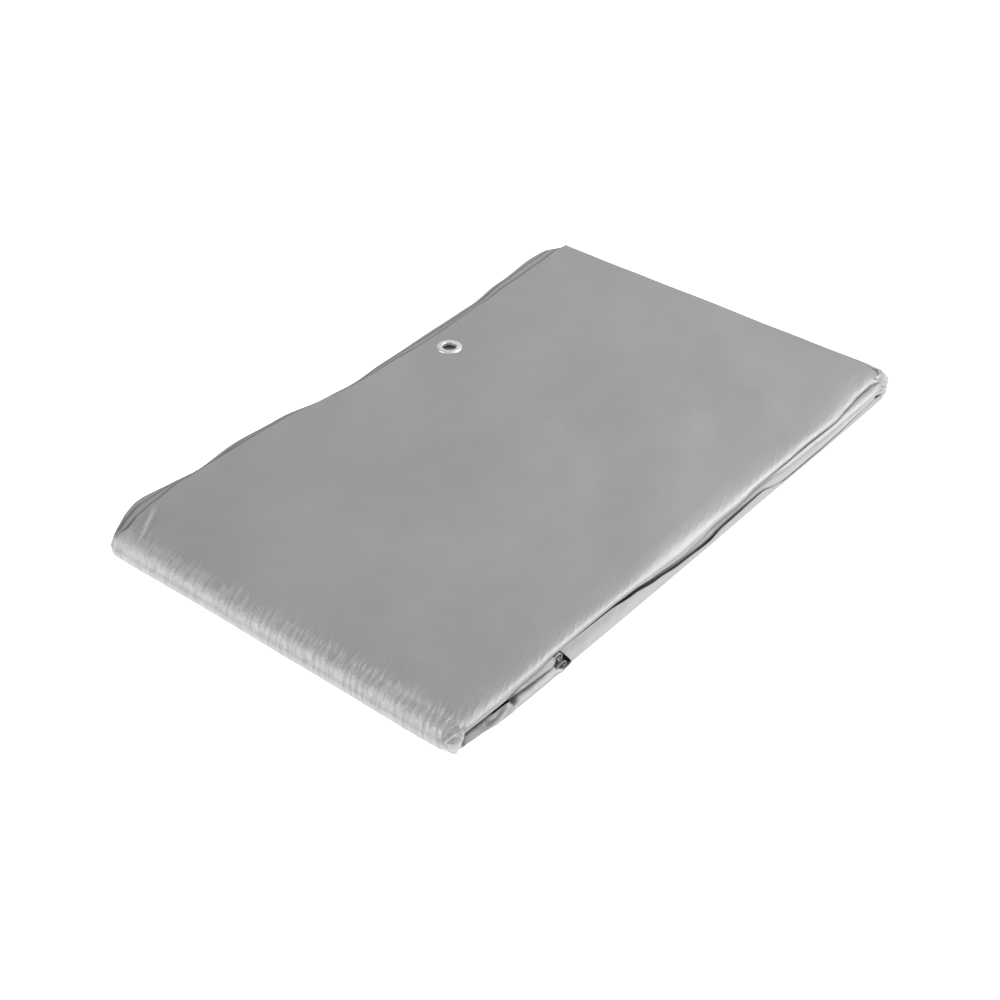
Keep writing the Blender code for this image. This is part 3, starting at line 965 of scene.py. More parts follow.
    flap_bend: Bend = Bend(run=22.0, round_in=5.0, round_out=0.4)
    tab_bend: Bend = Bend(run=14.0, round_in=2.4, round_out=0.18)
    inner_bend: Bend = Bend(run=8.0, round_in=3.0, round_out=0.5)
    cap_bend: Bend = Bend(run=15.0, round_in=5.0, round_out=0.4)
    inner_front: FrontRow = FrontRow(x=0, inset=14.0, sink=0.0, reach=0.4, lean=0.0)
    cap_front: FrontRow = FrontRow(x=0, inset=8.2, sink=0.6, reach=8.2, lean=0.0)
    path: Sequence[tuple[int, Side | None]] = (
        (7, Side.LEFT),
        (2, Side.RIGHT),
        (3, Side.LEFT),
        (6, Side.RIGHT),
        (5, Side.LEFT),
        (4, Side.RIGHT),
        (1, Side.LEFT),
        (8, None),
    )

    def __post_init__(self) -> None:
        """Draws the tables' curves."""
        self.fronts = {
            8: (SoftTable(self.lip, 2.5), self.lip_bend),
            7: (SoftTable(self.flap, 1.6), self.flap_bend),
            1: (SoftTable(self.tab, 0.8), self.tab_bend),
        }
        hems = {8: self.top_hem, 7: self.second_hem, 6: self.third_hem, **self.inner_hems}
        self.hems = {layer: SoftTable(rows, 3.0) for layer, rows in hems.items()}

    def hem_of(self, layer: int, x: float) -> float:
        """Where a layer's hem lies at x, in the packet that leans at its ends."""
        return self.hems[layer].at(x + self.packet.lean(x)).y

    def front_of(self, layer: int, x: float) -> tuple[FrontRow, Bend]:
        """How a layer ends at the front side, at x."""
        if layer not in self.fronts:
            return self.inner_front, self.inner_bend
        table, bend = self.fronts[layer]
        return table.at(x), bend

    def places_of(self, layer: int) -> list[float]:
        """Where along x a layer has its sections."""
        packet = self.packet
        spacing = {
            8: self.top_spacing,
            7: self.flap_spacing,
            6: self.third_spacing,
            1: self.tab_spacing,
        }
        step = spacing.get(layer, self.inner_spacing)
        right = packet.half if layer in (7, 8) else packet.right_x
        count = round((right - packet.left_x) / step)
        places = list(np.linspace(packet.left_x, right, count + 1))
        if layer == 1:
            near = np.arange(packet.left_x + 3, self.tab_start, self.recess_spacing)
            far = (x for x in places if x > self.tab_start + 2.0)
            places = sorted({packet.left_x, *near, *far})
        if layer == 8:
            start = packet.left_x + packet.hem_start
            near = np.arange(start + 2.4, self.fine_end, self.fine_spacing)
            places = [x for x in places if x <= start or x > self.fine_end]
            places = sorted({*places, start, start + 0.6, *near})
        return places

    def panel(self, layer: int, rightwards: bool) -> list[Column]:
        """The sections of one layer, from one end of the packet to the other."""
        inward = (0.0, -1.0) if layer > self.packet.layers / 2 else (0.0, 1.0)
        columns = [
            Column(
                x,
                self.packet.level(layer),
                inward,
                *self.front_of(layer, x),
                self.hem_of(layer, x),
                layer,
                0.0,
            )
            for x in self.places_of(layer)
        ]
        return columns if rightwards else columns[::-1]

    def fold(self, start: Column, end: Column, side: Side) -> list[Column]:
        """The sections of the fold between two layers.

        Args:
            start: The last section before the fold.
            end: The first section after it.
            side: The end of the packet that the fold is at.

        Returns:
            The sections between them, half an ellipse in the packet's section.
        """
        packet = self.packet
        low, high = sorted((start.layer, end.layer))
        nested = (high - low - 1) // 2
        outermost = nested == packet.layers // 2 - 1
        if side is Side.LEFT:
            reach = packet.left_reach - (packet.layers // 2 - 1 - nested) * packet.left_step
            steps = self.outer_steps if outermost else self.inner_steps + 2 * nested
        else:
            reach = packet.right_reach - (1 - nested) * packet.right_step
            steps = self.inner_steps
        middle, rise = (start.z + end.z) / 2, (start.z - end.z) / 2
        columns = []
        for step in range(1, steps):
            turn = math.pi * step / steps
            across, along = math.sin(turn), math.cos(turn)
            inward = Vector((-side.value * across / reach, -along / rise)).normalized()
            share = step / steps
            front = mixed_row(start.front, end.front, share)
            bend = mixed_bend(start.bend, end.bend, share)
            if outermost:
                tucked = across ** (self.tuck_below if share > 0.5 else self.tuck_above)
                front = mixed_row(front, self.cap_front, tucked)
                bend = mixed_bend(bend, self.cap_bend, tucked)
            columns.append(
                Column(
                    start.x + side.value * reach * across,
                    middle + rise * along,
                    (inward.x, inward.y),
                    front,
                    bend,
                    start.hem + (end.hem - start.hem) * share + self.fold_bulge[nested] * across,
                    0,
                    1.0 if outermost else 0.0,
                )
            )
        return columns

    def columns(self) -> list[Column]:
        """Every section of the strip, from its first end to its last."""
        columns: list[Column] = []
        rightwards, before = False, None
        for layer, then in self.path:
            panel = self.panel(layer, rightwards)
            if columns:
                columns += self.fold(columns[-1], panel[0], before)
            columns += panel
            rightwards, before = not rightwards, then
        return columns

    def section(self, column: Column) -> np.ndarray:
        """A section's line: how far each row lies from the front side, and shifts inwards."""
        front, bend = column.front, column.bend
        outer = np.array([front.inset + front.lean, front.reach])
        corner = np.array([front.inset, front.sink])
        inner = np.array([front.inset + bend.run, 0.0])
        leaving = corner + (outer - corner) * bend.round_out
        coming = corner + (inner - corner) * bend.round_in / bend.run
        edge = outer + (leaving - outer) * np.linspace(0, 1, self.edge_rows, False)[:, None]
        t = np.linspace(0, 1, self.bend_rows)[:, None]
        turn = (1 - t) ** 2 * leaving + 2 * t * (1 - t) * corner + t**2 * coming
        level = coming + (inner - coming) * np.linspace(0, 1, self.level_rows + 1)[1:, None]
        hem, hem_width = column.hem, self.packet.hem_width
        shares = np.linspace(0, 1, self.body_rows + 1)[1:] ** 1.3
        body = inner[0] + (hem - hem_width - inner[0]) * shares
        across = np.linspace(hem_width, self.rim_width, self.hem_rows + 1)[1:]
        rim = np.linspace(self.rim_width, 0.0, self.rim_rows + 1)[1:]
        flat = np.concatenate([body, hem - across, hem - rim])
        flat = np.stack([flat, np.zeros_like(flat)], axis=1)
        return np.vstack([edge, turn, level, flat])

    def grid(self) -> ClothGrid:
        """The folded strip as a grid of cloth, with its swells, creases and painted shade.

        Returns:
            The grid, in the tables' millimetres.
        """
        packet, columns = self.packet, self.columns()
        sections = np.stack([self.section(column) for column in columns], axis=1)
        inset, shift = sections[..., 0], sections[..., 1]
        at = np.array([[c.x, c.z, *c.inward] for c in columns])
        layer = np.array([c.layer for c in columns])
        outer_fold = np.array([c.fold for c in columns])
        x = at[:, 0] + at[:, 2] * shift
        z = at[:, 1] + at[:, 3] * shift
        for number in range(1, packet.layers):
            under = layer == number
            z[:, under] -= packet.dent(number, x[:, under], inset[:, under])
        points = np.stack([x, inset, z], axis=-1)
        arc = np.linalg.norm(np.diff(points, axis=0), axis=2).cumsum(axis=0)
        arc = np.vstack([np.zeros((1, len(columns))), arc])
        across = np.linalg.norm(np.diff(points[self.flat_row], axis=0), axis=1).cumsum()
        along = np.concatenate([[0.0], across])
        strip = np.stack([np.broadcast_to(along, arc.shape), inset], axis=-1) * MM
        none = np.zeros(arc.shape)
        grid = ClothGrid(points, strip, none.copy(), np.ones(arc.shape), none)
        # Painted shade: a dark line on layers 6 and 7 along the edge of the hem above them, full from just
        # under that edge to a little past it and fading beyond, where a contact shadow falls.
        for lower in (6, 7):
            beside = np.array([self.hem_of(lower + 1, c.x) for c in columns])
            past = np.clip(inset - beside - self.hidden_width, 0.0, None)
            close = np.exp(-((past / self.grime_width) ** 2)) * (inset > beside - self.grime_back)
            grid.grime = np.where(layer[None, :] == lower, close, grid.grime)
        self.shade_under_lip(grid, columns, z)
        self.crease(grid, layer, outer_fold, at, arc)
        self.thin_over_hem(grid, columns)
        return grid

    def shade_under_lip(self, grid: ClothGrid, columns: Sequence[Column], z: np.ndarray) -> None:
        """Paints shade on the plies where they pass in under the lip's edge, inside the hidden plies and
        along each ply's outer edge, and thins each outer edge.

        Args:
            grid: The grid to change.
            columns: Its sections.
            z: Heights of its places.
        """
        table, shades = self.fronts[8][0], np.array(self.shades)
        for index, column in enumerate(columns):
            grime, y = grid.grime[:, index], grid.points[:, index, 1]
            lip = table.at(column.x)
            # Painted shade: full strength from just above the line of sight past the lip's edge, fading
            # with depth below it.
            edge = self.packet.level(8) - lip.reach
            below = edge - self.sight_fall * (y - lip.inset) - z[:, index]
            width, share = (float(np.interp(column.x, shades[:, 0], shades[:, k])) for k in (1, 2))
            dark = share * np.exp(-((np.clip(below, 0.0, None) / width) ** 2)) * (below > -self.shade_above)
            behind = column.layer == 1 and column.x > self.tab_start
            # Inside the hidden plies the painted shade is full near the front side and fades out further
            # in.
            if 1 < column.layer < 7 or behind:
                dark = np.clip((self.hidden_depth - y) / self.hidden_run, 0.0, 1.0)
            if column.layer != 8 and (column.layer or not column.fold):
                grime[:] = np.maximum(grime, dark)
            steps = np.linalg.norm(np.diff(grid.points[:, index], axis=0), axis=1)
            along = np.concatenate([[0.0], steps.cumsum()])
            # Painted shade along the first millimetre of each section's outer edge, as a thin shadow line.
            grime[:] = np.maximum(grime, self.rim_shade * np.clip(1.0 - along, 0.0, 1.0))
            full = self.edge_share + along / self.edge_run
            grid.full[:, index] = np.minimum(full, 1.0)

    def top_raised(self, x: np.ndarray, y: np.ndarray) -> np.ndarray:
        """How far the top of the packet is raised by its waves and creases.

        Args:
            x: Places along the packet.
            y: Places across it.

        Returns:
            The height at each place, in millimetres.
        """
        packet = self.packet
        inside = np.clip((x + 300.0) / 30.0, 0, 1) * np.clip((y - 2.0) / 20.0, 0, 1)
        away = ((x - packet.eyelet_x) ** 2 + (y - packet.eyelet_y) ** 2) / self.calm_radius**2
        inside = inside * (1.0 - np.exp(-(away**2)))
        waves = sum(swell.raised(x, y) for swell in self.swells)
        return waves * inside + sum(crease.raised(x, y) for crease in self.top_creases)

    def crease(
        self,
        grid: ClothGrid,
        layer: np.ndarray,
        outer_fold: np.ndarray,
        at: np.ndarray,
        arc: np.ndarray,
    ) -> None:
        """Raises the swells and creases, and marks where the cloth is worn and lightened by a painted
        highlight.

        Args:
            grid: The grid to change.
            layer: Each section's layer, or 0 in a fold.
            outer_fold: 1 on the sections of the outer fold at the left.
            at: Each section's x and z, and its inward direction.
            arc: How far each row lies from its section's edge.
        """
        normal = grid.normals()
        outward = np.stack([-at[:, 2], np.zeros(len(at)), -at[:, 3]], axis=-1)
        facing = np.einsum("rck,ck->rc", normal, outward)[self.flat_row]
        normal = normal * np.sign(facing)[None, :, None]
        x, y, z = (grid.points[..., k].copy() for k in range(3))
        raised = np.zeros(arc.shape)
        top = np.broadcast_to(layer == 8, arc.shape)
        raised += np.where(top, self.top_raised(x, y), 0.0)
        wall = np.broadcast_to(layer == 1, arc.shape) & (y < self.wall_depth)
        off_floor = np.clip((z - self.foot_height) / self.foot_run, 0.0, 1.0)
        for crease in self.wall_creases:
            raised += np.where(wall, crease.raised(x, z) * off_floor, 0.0)
        for crease in self.fold_creases:
            raised += np.where(outer_fold > 0, crease.raised(z, y) * off_floor, 0.0)
        bow = sum(height * np.sin(y / run + phase) for height, run, phase in self.bows)
        fade = np.clip(y / self.bow_fade, 0, 1) * off_floor
        fade = fade * np.clip((self.bow_end - y) / self.bow_fade, 0, 1)
        raised += np.where(outer_fold[None, :] > 0, bow * fade * self.bow_share, 0.0)
        grid.points += normal * raised[..., None]
        # Wear and painted highlight: along the left fold, near the lip, on the front plies and over the
        # outer fold.
        past_fold = np.clip(x - self.left_start, 0.0, None)
        near_left = np.where(top, np.exp(-past_fold / self.worn_left), 0.0)
        lip_width, lip_worn = self.worn_lip
        near_lip = np.where(top, np.exp(-((arc / lip_width) ** 2)) * lip_worn, 0.0)
        front_width, front_worn = self.worn_front
        plies = (layer[None, :] == 7) | (layer[None, :] == 1)
        front = np.where(plies & (y < front_width), front_worn, 0.0)
        fold = np.broadcast_to(outer_fold, arc.shape)
        worn = np.maximum.reduce([near_left, near_lip, front, fold])
        grid.worn[:] = worn + self.worn_least

    def thin_over_hem(self, grid: ClothGrid, columns: Sequence[Column]) -> None:
        """Makes the top layer a thin skin where the doubled hem lies under it.

        Args:
            grid: The grid to change.
            columns: Its sections.
        """
        packet = self.packet
        start = packet.left_x + packet.hem_start + 0.3
        over = np.array([c.layer == 8 and c.x > start for c in columns])
        rows = slice(-self.hem_rows - self.rim_rows, None)
        lift = packet.layer_thickness * (1 - self.skin_share) / 2
        grid.points[rows, over, 2] += lift
        grid.full[rows, over] = self.skin_share

    def build(self) -> bpy.types.Object:
        """Builds the sheet.

        Returns:
            The sheet, which replaces the tarp's solid.
        """
        packet = self.packet
        bore = Bore(packet.eyelet_x, packet.eyelet_y, above=19.6)
        cloth = Cloth(self.name, packet, packet.layer_thickness, self.finish, 0.35, bore)
        cloth.lay(self.grid())
        return cloth.finished("tarp")


def mixed_row(first: FrontRow, second: FrontRow, share: float) -> FrontRow:
    """The front row a share of the way from one to another."""
    names = [entry.name for entry in fields(FrontRow)]
    pairs = [(getattr(first, n), getattr(second, n)) for n in names]
    return FrontRow(*(a + (b - a) * share for a, b in pairs))


def mixed_bend(first: Bend, second: Bend, share: float) -> Bend:
    """The bend a share of the way from one to another."""
    names = [entry.name for entry in fields(Bend)]
    pairs = [(getattr(first, n), getattr(second, n)) for n in names]
    return Bend(*(a + (b - a) * share for a, b in pairs))


@dataclass
class TopHem:
    """The turned-under edge of the top layer, which carries the eyelet."""

    sheet: FoldedSheet
    finish: bpy.types.Material
    name: str = "top_hem"
    thickness: float = 0.8
    height: float = 20.3
    spacing: float = 6.0
    rows: int = 11
    back: float = 0.5
    end_gap: float = 3.0
    worn: float = 0.1

    def build(self) -> bpy.types.Object:
        """Builds the hem.

        Returns:
            The hem, which replaces the hem strip's solid.
        """
        packet = self.sheet.packet
        start, end = packet.left_x + packet.hem_start, packet.half - self.end_gap
        places = np.linspace(start, end, round((end - start) / self.spacing))
        across = np.linspace(packet.hem_width - self.back, self.back, self.rows)
        hems = np.array([self.sheet.hem_of(8, x) for x in places])
        x, back = np.meshgrid(places, across)
        y = hems[None, :] - back
        z = self.height + self.sheet.top_raised(x, y)
        bore = Bore(packet.eyelet_x, packet.eyelet_y, above=19.6)
        cloth = Cloth(
            self.name, packet, self.thickness, self.finish, 0.2, bore, slot="silver_hem"
        )
        cloth.lay(ClothGrid.through(np.stack([x, y, z], axis=-1), self.worn))
        return cloth.finished("hem_strip")


@dataclass
class FrontTab:
    """The loose ply in front, which starts at its crisp cut end and covers the front side."""

    packet: Packet
    finish: bpy.types.Material
    name: str = "front_tab"
    thickness: float = 0.9
    start: float = -178.0
    end: float = 308.0
    spacing: float = 4.0
    rows: int = 16
    cut_run: float = 46.0
    rails: Sequence[FrontRow] = (
        # Each row gives x, inset, sink, reach and lean.
        FrontRow(-178, -0.3, 0.5, 16.8, 5.2),
        FrontRow(-168, -0.4, 0.5, 16.6, 5.0),
        FrontRow(-120, -0.4, 0.5, 16.4, 4.4),
        FrontRow(-88, -0.3, 0.5, 14.6, 2.6),
        FrontRow(-60, -0.2, 0.5, 11.2, 1.4),
        FrontRow(-25, 0.2, 0.5, 7.4, 0.7),
        FrontRow(15, 0.4, 0.5, 5.4, 0.5),
        FrontRow(34, 0.6, 0.5, 8.4, 1.0),
        FrontRow(96, 1.0, 0.5, 10.0, 1.4),
        FrontRow(114, 1.4, 0.5, 6.0, 0.8),
        FrontRow(130, 1.6, 0.5, 3.0, 0.4),
        FrontRow(182, 1.8, 0.5, 2.9, 0.4),
        FrontRow(215, 2.0, 0.5, 3.9, 0.5),
        FrontRow(248, 2.0, 0.5, 6.4, 1.0),
        FrontRow(277, 2.4, 0.5, 8.0, 2.2),
        FrontRow(292, 3.0, 0.5, 4.8, 1.8),
        FrontRow(308, 6.0, 0.5, 2.4, 0.8),
    )
    dents: Sequence[Crease] = (
        # Each row gives x1, y1, x2, y2, width and height.
        Crease(-160, 4, -148, 12, 2.6, 0.35),
        Crease(-146, 3, -139, 10, 2.2, -0.3),
        Crease(-131, 5, -118, 13, 3.0, 0.3),
        Crease(-104, 3, -98, 12, 2.4, 0.3),
        Crease(-60, 2, -52, 9, 2.4, -0.3),
        Crease(24, 1, 30, 8, 2.4, 0.4),
        Crease(60, 2, 66, 9, 2.6, 0.3),
    )

    def section(self, row: FrontRow) -> np.ndarray:
        """Section of the ply, from its foot to its top edge, as y and z."""
        foot, y, top, lean = row.sink, row.inset, row.reach, row.lean
        places = (
            (y + 2.6, foot),
            (y + 0.9, foot + 0.25),
            (y + 0.1, foot + 0.1 * top + 0.4),
            (y + 0.04 * lean, 0.34 * top),
            (y + 0.26 * lean, 0.68 * top),
            (y + lean, top),
        )
        return drawn(np.array(places), self.rows, 0.33)

    def build(self) -> bpy.types.Object:
        """Builds the ply."""
        table = SoftTable(self.rails, 1.8)
        places = np.linspace(self.start, self.end, round((self.end - self.start) / self.spacing))
        sections = np.stack([self.section(table.at(x)) for x in places], axis=1)
        y, z = sections[..., 0], sections[..., 1]
        slant = np.exp(-(places - self.start) / self.cut_run)
        cut = 10.0 * (1.0 - z / 16.0) - 9.0 * np.exp(-((z / 1.6) ** 2))
        x = places[None, :] + slant[None, :] * np.clip(cut, -2.0, 12.0)
        off_floor = np.clip((z - 1.2) / 2.0, 0.0, 1.0)
        y = y - sum(dent.raised(x, z) for dent in self.dents) * off_floor
        cloth = Cloth(self.name, self.packet, self.thickness, self.finish, 0.25)
        cloth.lay(ClothGrid.through(np.stack([x, y, z], axis=-1), 0.4))
        return cloth.finished()


@dataclass(frozen=True)
class Ply:
    """A small fold given as rails of places (x, y, z), smoothed both ways."""

    rails: Sequence[Sequence[tuple[float, float, float]]]
    rows: int
    columns: int
    softness: float
    worn: float

    def grid(self) -> ClothGrid:
        """The fold as a grid of cloth."""
        places = drawn(np.array(self.rails, dtype=float), self.rows, self.softness)
        places = drawn(places.transpose(1, 0, 2), self.columns, self.softness)
        return ClothGrid.through(places.transpose(1, 0, 2), self.worn)


@dataclass(frozen=True)
class Tuck:
    """A piece of small folds of the sheet, named after its place on the packet."""

    name: str
    thickness: float
    plies: Sequence[Ply]

    def build(self, packet: Packet, finish: bpy.types.Material) -> bpy.types.Object:
        """Builds the piece.

        Args:
            packet: The packet that places the tables in the frame.
            finish: The cloth's material.

        Returns:
            The piece.
        """
        cloth = Cloth(self.name, packet, self.thickness, finish, 0.2)
        for ply in self.plies:
            cloth.lay(ply.grid())
        return cloth.finished()


# Full wear lightens the cap, partly as a painted highlight.
CORNER_CAP = Tuck(
    name="corner_cap",
    thickness=0.8,
    plies=(
        Ply(
            rails=(
                (
                    (-300.2, 10.8, 20.9), (-297.0, 10.4, 21.4), (-294.0, 9.2, 21.5),
                    (-292.6, 6.8, 21.3), (-292.7, 3.0, 20.4),
                ),
                (
                    (-302.8, 10.8, 18.6), (-300.0, 9.2, 18.9), (-296.9, 7.0, 18.5),
                    (-294.1, 4.5, 18.2), (-291.3, 2.4, 17.4),
                ),
                (
                    (-305.8, 10.2, 15.4), (-303.4, 8.4, 15.8), (-299.6, 5.3, 15.0),
                    (-295.8, 2.3, 13.6), (-293.0, 1.6, 13.2),
                ),
                (
                    (-306.0, 10.3, 11.6), (-305.1, 6.6, 12.6), (-302.2, 3.4, 12.0),
                    (-298.5, 1.8, 10.6), (-295.2, 2.0, 9.4),
                ),
                (
                    (-305.4, 9.5, 7.4), (-304.3, 5.7, 8.0), (-303.1, 2.9, 8.0),
                    (-300.1, 2.7, 6.4), (-296.0, 3.3, 5.0),
                ),
                (
                    (-302.1, 9.3, 1.4), (-301.4, 7.2, 0.8), (-300.9, 5.0, 0.6),
                    (-300.1, 4.0, 0.6), (-298.5, 4.0, 0.6),
                ),
            ),
            rows=46,
            columns=41,
            softness=0.06,
            worn=1.0,
        ),
    ),
)

RIGHT_CORNER = Tuck(
    name="right_corner",
    thickness=0.8,
    plies=(
        Ply(
            rails=tuple(
                tuple((x, y, z) for x, y in ((290, 13), (300, 12.6), (308, 15), (309.5, 24)))
                for z in (19.0, 12.0, 6.0, 0.8)
            ),
            rows=7,
            columns=13,
            softness=0.12,
            worn=0.3,
        ),
        Ply(
            rails=(
                ((293, 12.4, 20.9), (299, 11.6, 21.3), (304.5, 16, 21.5), (306.8, 27, 21.1)),
                ((292.6, 10.6, 20), (300, 9, 21), (308.6, 13.6, 20.8), (309.8, 26, 20.6)),
                ((293, 8.6, 17.4), (301, 6.4, 18.6), (310.6, 11.6, 17.6), (310.8, 23, 17.4)),
                ((295, 7.6, 14.0), (303.4, 4.8, 13.8), (314.4, 9.8, 13.2), (312.4, 22, 13)),
                ((298, 7.6, 11.0), (305.6, 5.2, 9.6), (316.0, 9.0, 8.4), (313.2, 21, 8.2)),
            ),
            rows=27,
            columns=25,
            softness=0.12,
            worn=0.7,
        ),
        Ply(
            rails=(
                ((287, 8.6, 11.0), (298, 8.6, 11.4), (309.6, 10.6, 10.2), (311.4, 18, 9.8)),
                ((288, 6.8, 7.0), (300, 5.4, 7.4), (313.6, 8.2, 5.0), (313.0, 18, 4.8)),
                ((291, 6.0, 3.6), (303, 4.8, 2.6), (315.6, 8.8, 2.2), (313.4, 18, 2.2)),
                ((294, 5.8, 0.6), (306, 5.2, 0.6), (315.4, 9.8, 0.6), (312.6, 18, 0.6)),
            ),
            rows=23,
            columns=25,
            softness=0.12,
            worn=0.8,
        ),
    ),
)

# High wear lightens the curls in the cut end's shadow, as a painted highlight.
TAB_CURL = Tuck(
    name="tab_curl",
    thickness=0.45,
    plies=(
        Ply(
            rails=tuple(
                tuple((x + 0.3 * (y - 4), y, z) for y in (2.2, 6, 11))
                for x, z in (
                    (-187, 15.6), (-182, 16.7), (-178.6, 15.2), (-177.2, 12.0), (-178.4, 9.2),
                    (-181.4, 9.0), (-182.6, 11.2), (-181.0, 12.8), (-179.6, 11.8),
                )
            ),
            rows=49,
            columns=5,
            softness=0.45,
            worn=1.2,
        ),
        Ply(
            rails=tuple(
                tuple((x + 0.3 * (y - 4), y, z) for y in (1.0, 6, 11))
                for x, z in (
                    (-184, 5.0), (-179, 6.6), (-174.6, 6.2), (-172.6, 4.0), (-174.6, 2.2),
                    (-177.4, 3.0),
                )
            ),
            rows=31,
            columns=5,
            softness=0.45,
            worn=1.2,
        ),
    ),
)


@dataclass
class Leaves:
    """Thin plies of the sheet that show between the layers along the hems."""

    sheet: FoldedSheet
    finish: bpy.types.Material
    name: str = "hem_leaves"
    thickness: float = 0.35
    depth: float = 14.0
    inset: float = 4.0
    columns: int = 86
    rows: int = 5
    worn: float = 0.1
    wave: float = 0.22
    wave_run: float = 31.0
    edge_run: float = 47.0
    out: Sequence[float] = (2.2, 1.0, 2.6, 1.6, 1.8, 0.4, 0.2)

    def build(self) -> bpy.types.Object:
        """Builds the plies."""
        packet = self.sheet.packet
        cloth = Cloth(self.name, packet, self.thickness, self.finish, slot="silver_hem")
        left, right = packet.left_x + self.inset, packet.right_x - self.inset
        places = np.linspace(left, right, self.columns)
        for lower, out in zip(range(1, packet.layers), self.out):
            upper = np.array([self.sheet.hem_of(lower + 1, x) for x in places])
            under = np.array([self.sheet.hem_of(lower, x) for x in places])
            uneven = 0.6 + 0.4 * np.sin(places / self.edge_run + lower)
            edge = np.minimum(upper, under) + out * uneven
            inward = np.linspace(self.depth, 0.0, self.rows)
            x, back = np.meshgrid(places, inward)
            y = edge[None, :] - back
            wave = self.wave * np.sin(places / self.wave_run + 2.0 * lower)
            z = packet.level(lower) + packet.pitch / 2 + wave[None, :] * (1 - back / self.depth)
            cloth.lay(ClothGrid.through(np.stack([x, y, z], axis=-1), self.worn))
        return cloth.finished()


@dataclass
class Eyelet:
    """The two-part metal eyelet: a domed flange and barrel, set over a flange below."""

    packet: Packet
    finish: bpy.types.Material
    name: str = "eyelet_ring"
    steps: int = 96
    profile: Sequence[tuple[float, float]] = (
        (6.5, 19.1), (6.5, 21.5), (6.62, 21.95), (6.95, 22.25), (7.5, 22.41), (8.3, 22.45),
        (9.3, 22.40), (10.3, 22.24), (11.1, 21.98), (11.7, 21.65), (11.96, 21.38), (11.9, 21.24),
        (11.4, 21.26), (7.1, 21.3), (7.1, 19.6), (11.2, 19.5), (11.6, 19.3), (11.7, 19.05),
        (11.5, 18.8), (11.0, 18.7), (7.4, 18.7), (6.8, 18.8),
    )

    def build(self) -> bpy.types.Object:
        """Builds the eyelet.

        Returns:
            The eyelet, which replaces its solid.
        """
        packet = self.packet
        middle = Vector(packet.placed(np.array([packet.eyelet_x, packet.eyelet_y, 0.0])))
        metal = bmesh.new()
        verts = [metal.verts.new(middle + Vector((r, 0.0, z)) * MM) for r, z in self.profile]
        edges = [metal.edges.new(pair) for pair in zip(verts, verts[1:] + verts[:1])]
        bmesh.ops.spin(
            metal,
            geom=verts + edges,
            cent=middle,
            axis=(0.0, 0.0, 1.0),
            angle=math.tau,
            steps=self.steps,
            use_merge=True,
        )
        bmesh.ops.recalc_face_normals(metal, faces=metal.faces)
        ring = dressed(self.name, metal, self.finish)
        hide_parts("eyelet")
        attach(ring, "root")
        LOG.info("%s: %d faces", ring.name, len(ring.data.polygons))
        return ring


@dataclass(frozen=True)
class Softbox:
    """A rectangular soft light: its place and size in metres, and its power in watts."""

    name: str
    place: tuple[float, float, float]
    width: float
    height: float
    power: float

    def build(self) -> None:
        """Adds the light, facing the packet and itself unseen."""
        data = bpy.data.lights.new(self.name, "AREA")
        data.shape, data.size, data.size_y = "RECTANGLE", self.width, self.height
        data.energy = self.power
        lamp = bpy.data.objects.new(self.name, data)
        bpy.context.scene.collection.objects.link(lamp)
        lamp.location = self.place
        lamp.rotation_euler = (-Vector(self.place)).to_track_quat("-Z", "Y").to_euler()
        lamp.visible_camera = False


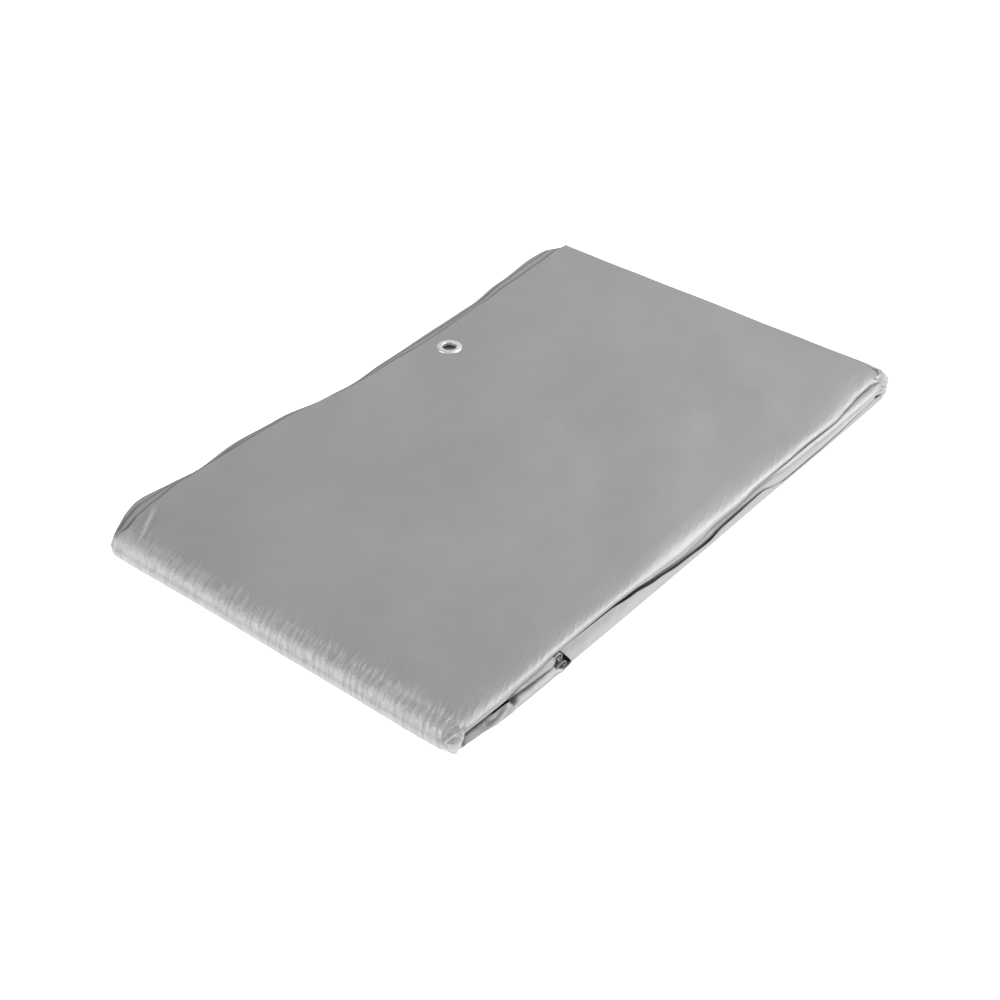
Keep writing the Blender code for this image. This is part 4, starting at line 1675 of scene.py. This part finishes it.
@dataclass
class Studio:
    """White floor, soft light and the camera, at the photograph's viewing angle."""

    packet: Packet
    camera_mm: tuple[float, float, float] = (-1022.84, -640.88, 962.88)
    tilt_deg: float = 52.88
    turn_deg: float = -50.17
    lens: float = 67.5
    sensor: float = 36.0
    world: float = 0.22
    walls: float = 0.75
    wall_heights: tuple[float, float] = (0.12, 0.5)
    floor_size: float = 14.0
    floor_gap: float = 0.0004
    boxes: Sequence[Softbox] = (
        Softbox("right_softbox", (2.05, -0.7, 2.35), 2.4, 2.0, 52.0),
        Softbox("left_softbox", (-1.7, 1.6, 2.2), 2.8, 2.4, 46.0),
        Softbox("front_softbox", (-0.8, -2.9, 1.0), 3.4, 1.6, 7.0),
        Softbox("low_softbox", (2.0, -2.05, 1.35), 2.4, 1.3, 16.0),
        Softbox("back_softbox", (2.0, 1.64, 1.88), 2.4, 1.8, 6.0),
        Softbox("overhead_softbox", (0.0, -0.2, 3.0), 2.4, 2.4, 6.0),
    )

    def build(self) -> None:
        """Adds the floor, the lights, the world and the camera."""
        self.lay_floor()
        for box in self.boxes:
            box.build()
        self.light_world()
        self.set_camera()
        settings = bpy.context.scene.view_settings
        settings.view_transform, settings.look = "Standard", "None"

    def lay_floor(self) -> None:
        """Lays the floor just under the packet."""
        grid = bmesh.new()
        bmesh.ops.create_grid(grid, x_segments=8, y_segments=8, size=self.floor_size / 2)
        floor = dressed("studio_floor", grid, PaleFloor().material())
        floor.location.z = -self.floor_gap

    def light_world(self) -> None:
        """Lights the world softly, brighter above the horizon than below it."""
        world = bpy.data.worlds.new("soft_world")
        bpy.context.scene.world = world
        world.use_nodes = True
        nodes, links = world.node_tree.nodes, world.node_tree.links
        where = nodes.new("ShaderNodeTexCoord")
        height = nodes.new("ShaderNodeSeparateXYZ")
        wall = nodes.new("ShaderNodeMapRange")
        wall.interpolation_type = "SMOOTHSTEP"
        ranges = (*self.wall_heights, self.walls, self.world)
        for socket, value in zip(list(wall.inputs)[1:5], ranges):
            socket.default_value = value
        links.new(where.outputs["Generated"], height.inputs[0])
        links.new(height.outputs[2], wall.inputs[0])
        links.new(wall.outputs[0], nodes["Background"].inputs[1])
        nodes["Background"].inputs[0].default_value = (1.0, 1.0, 1.0, 1.0)

    def set_camera(self) -> None:
        """Sets the camera up where the photograph was taken from."""
        data = bpy.data.cameras.new("photo_camera")
        data.lens, data.sensor_width = self.lens, self.sensor
        camera = bpy.data.objects.new("photo_camera", data)
        bpy.context.scene.collection.objects.link(camera)
        place = np.array(self.camera_mm) * MM
        width = self.packet.width * MM
        shift = self.packet.shift
        camera.location = (place[0] + shift[0], place[1] - width / 2 + shift[1], place[2])
        camera.rotation_euler = (math.radians(self.tilt_deg), 0.0, math.radians(self.turn_deg))
        bpy.context.scene.camera = camera


def main() -> None:
    """Builds the studio and the tarp's pieces."""
    logging.basicConfig(level=logging.INFO, format="%(message)s")
    packet = packet_in_frame()
    Studio(packet).build()
    silver = SilverSheet().material()
    hem_silver = SilverSheet(name="silver_hem_finish").material()
    sheet = FoldedSheet(packet, silver)
    cloth = sheet.build()
    hem = TopHem(sheet, hem_silver).build()
    ring = Eyelet(packet, BrightZinc().material()).build()
    tab = FrontTab(packet, silver).build()
    tucks = [tuck.build(packet, silver) for tuck in (CORNER_CAP, TAB_CURL, RIGHT_CORNER)]
    leaves = Leaves(sheet, hem_silver).build()


if __name__ == "__main__":
    main()
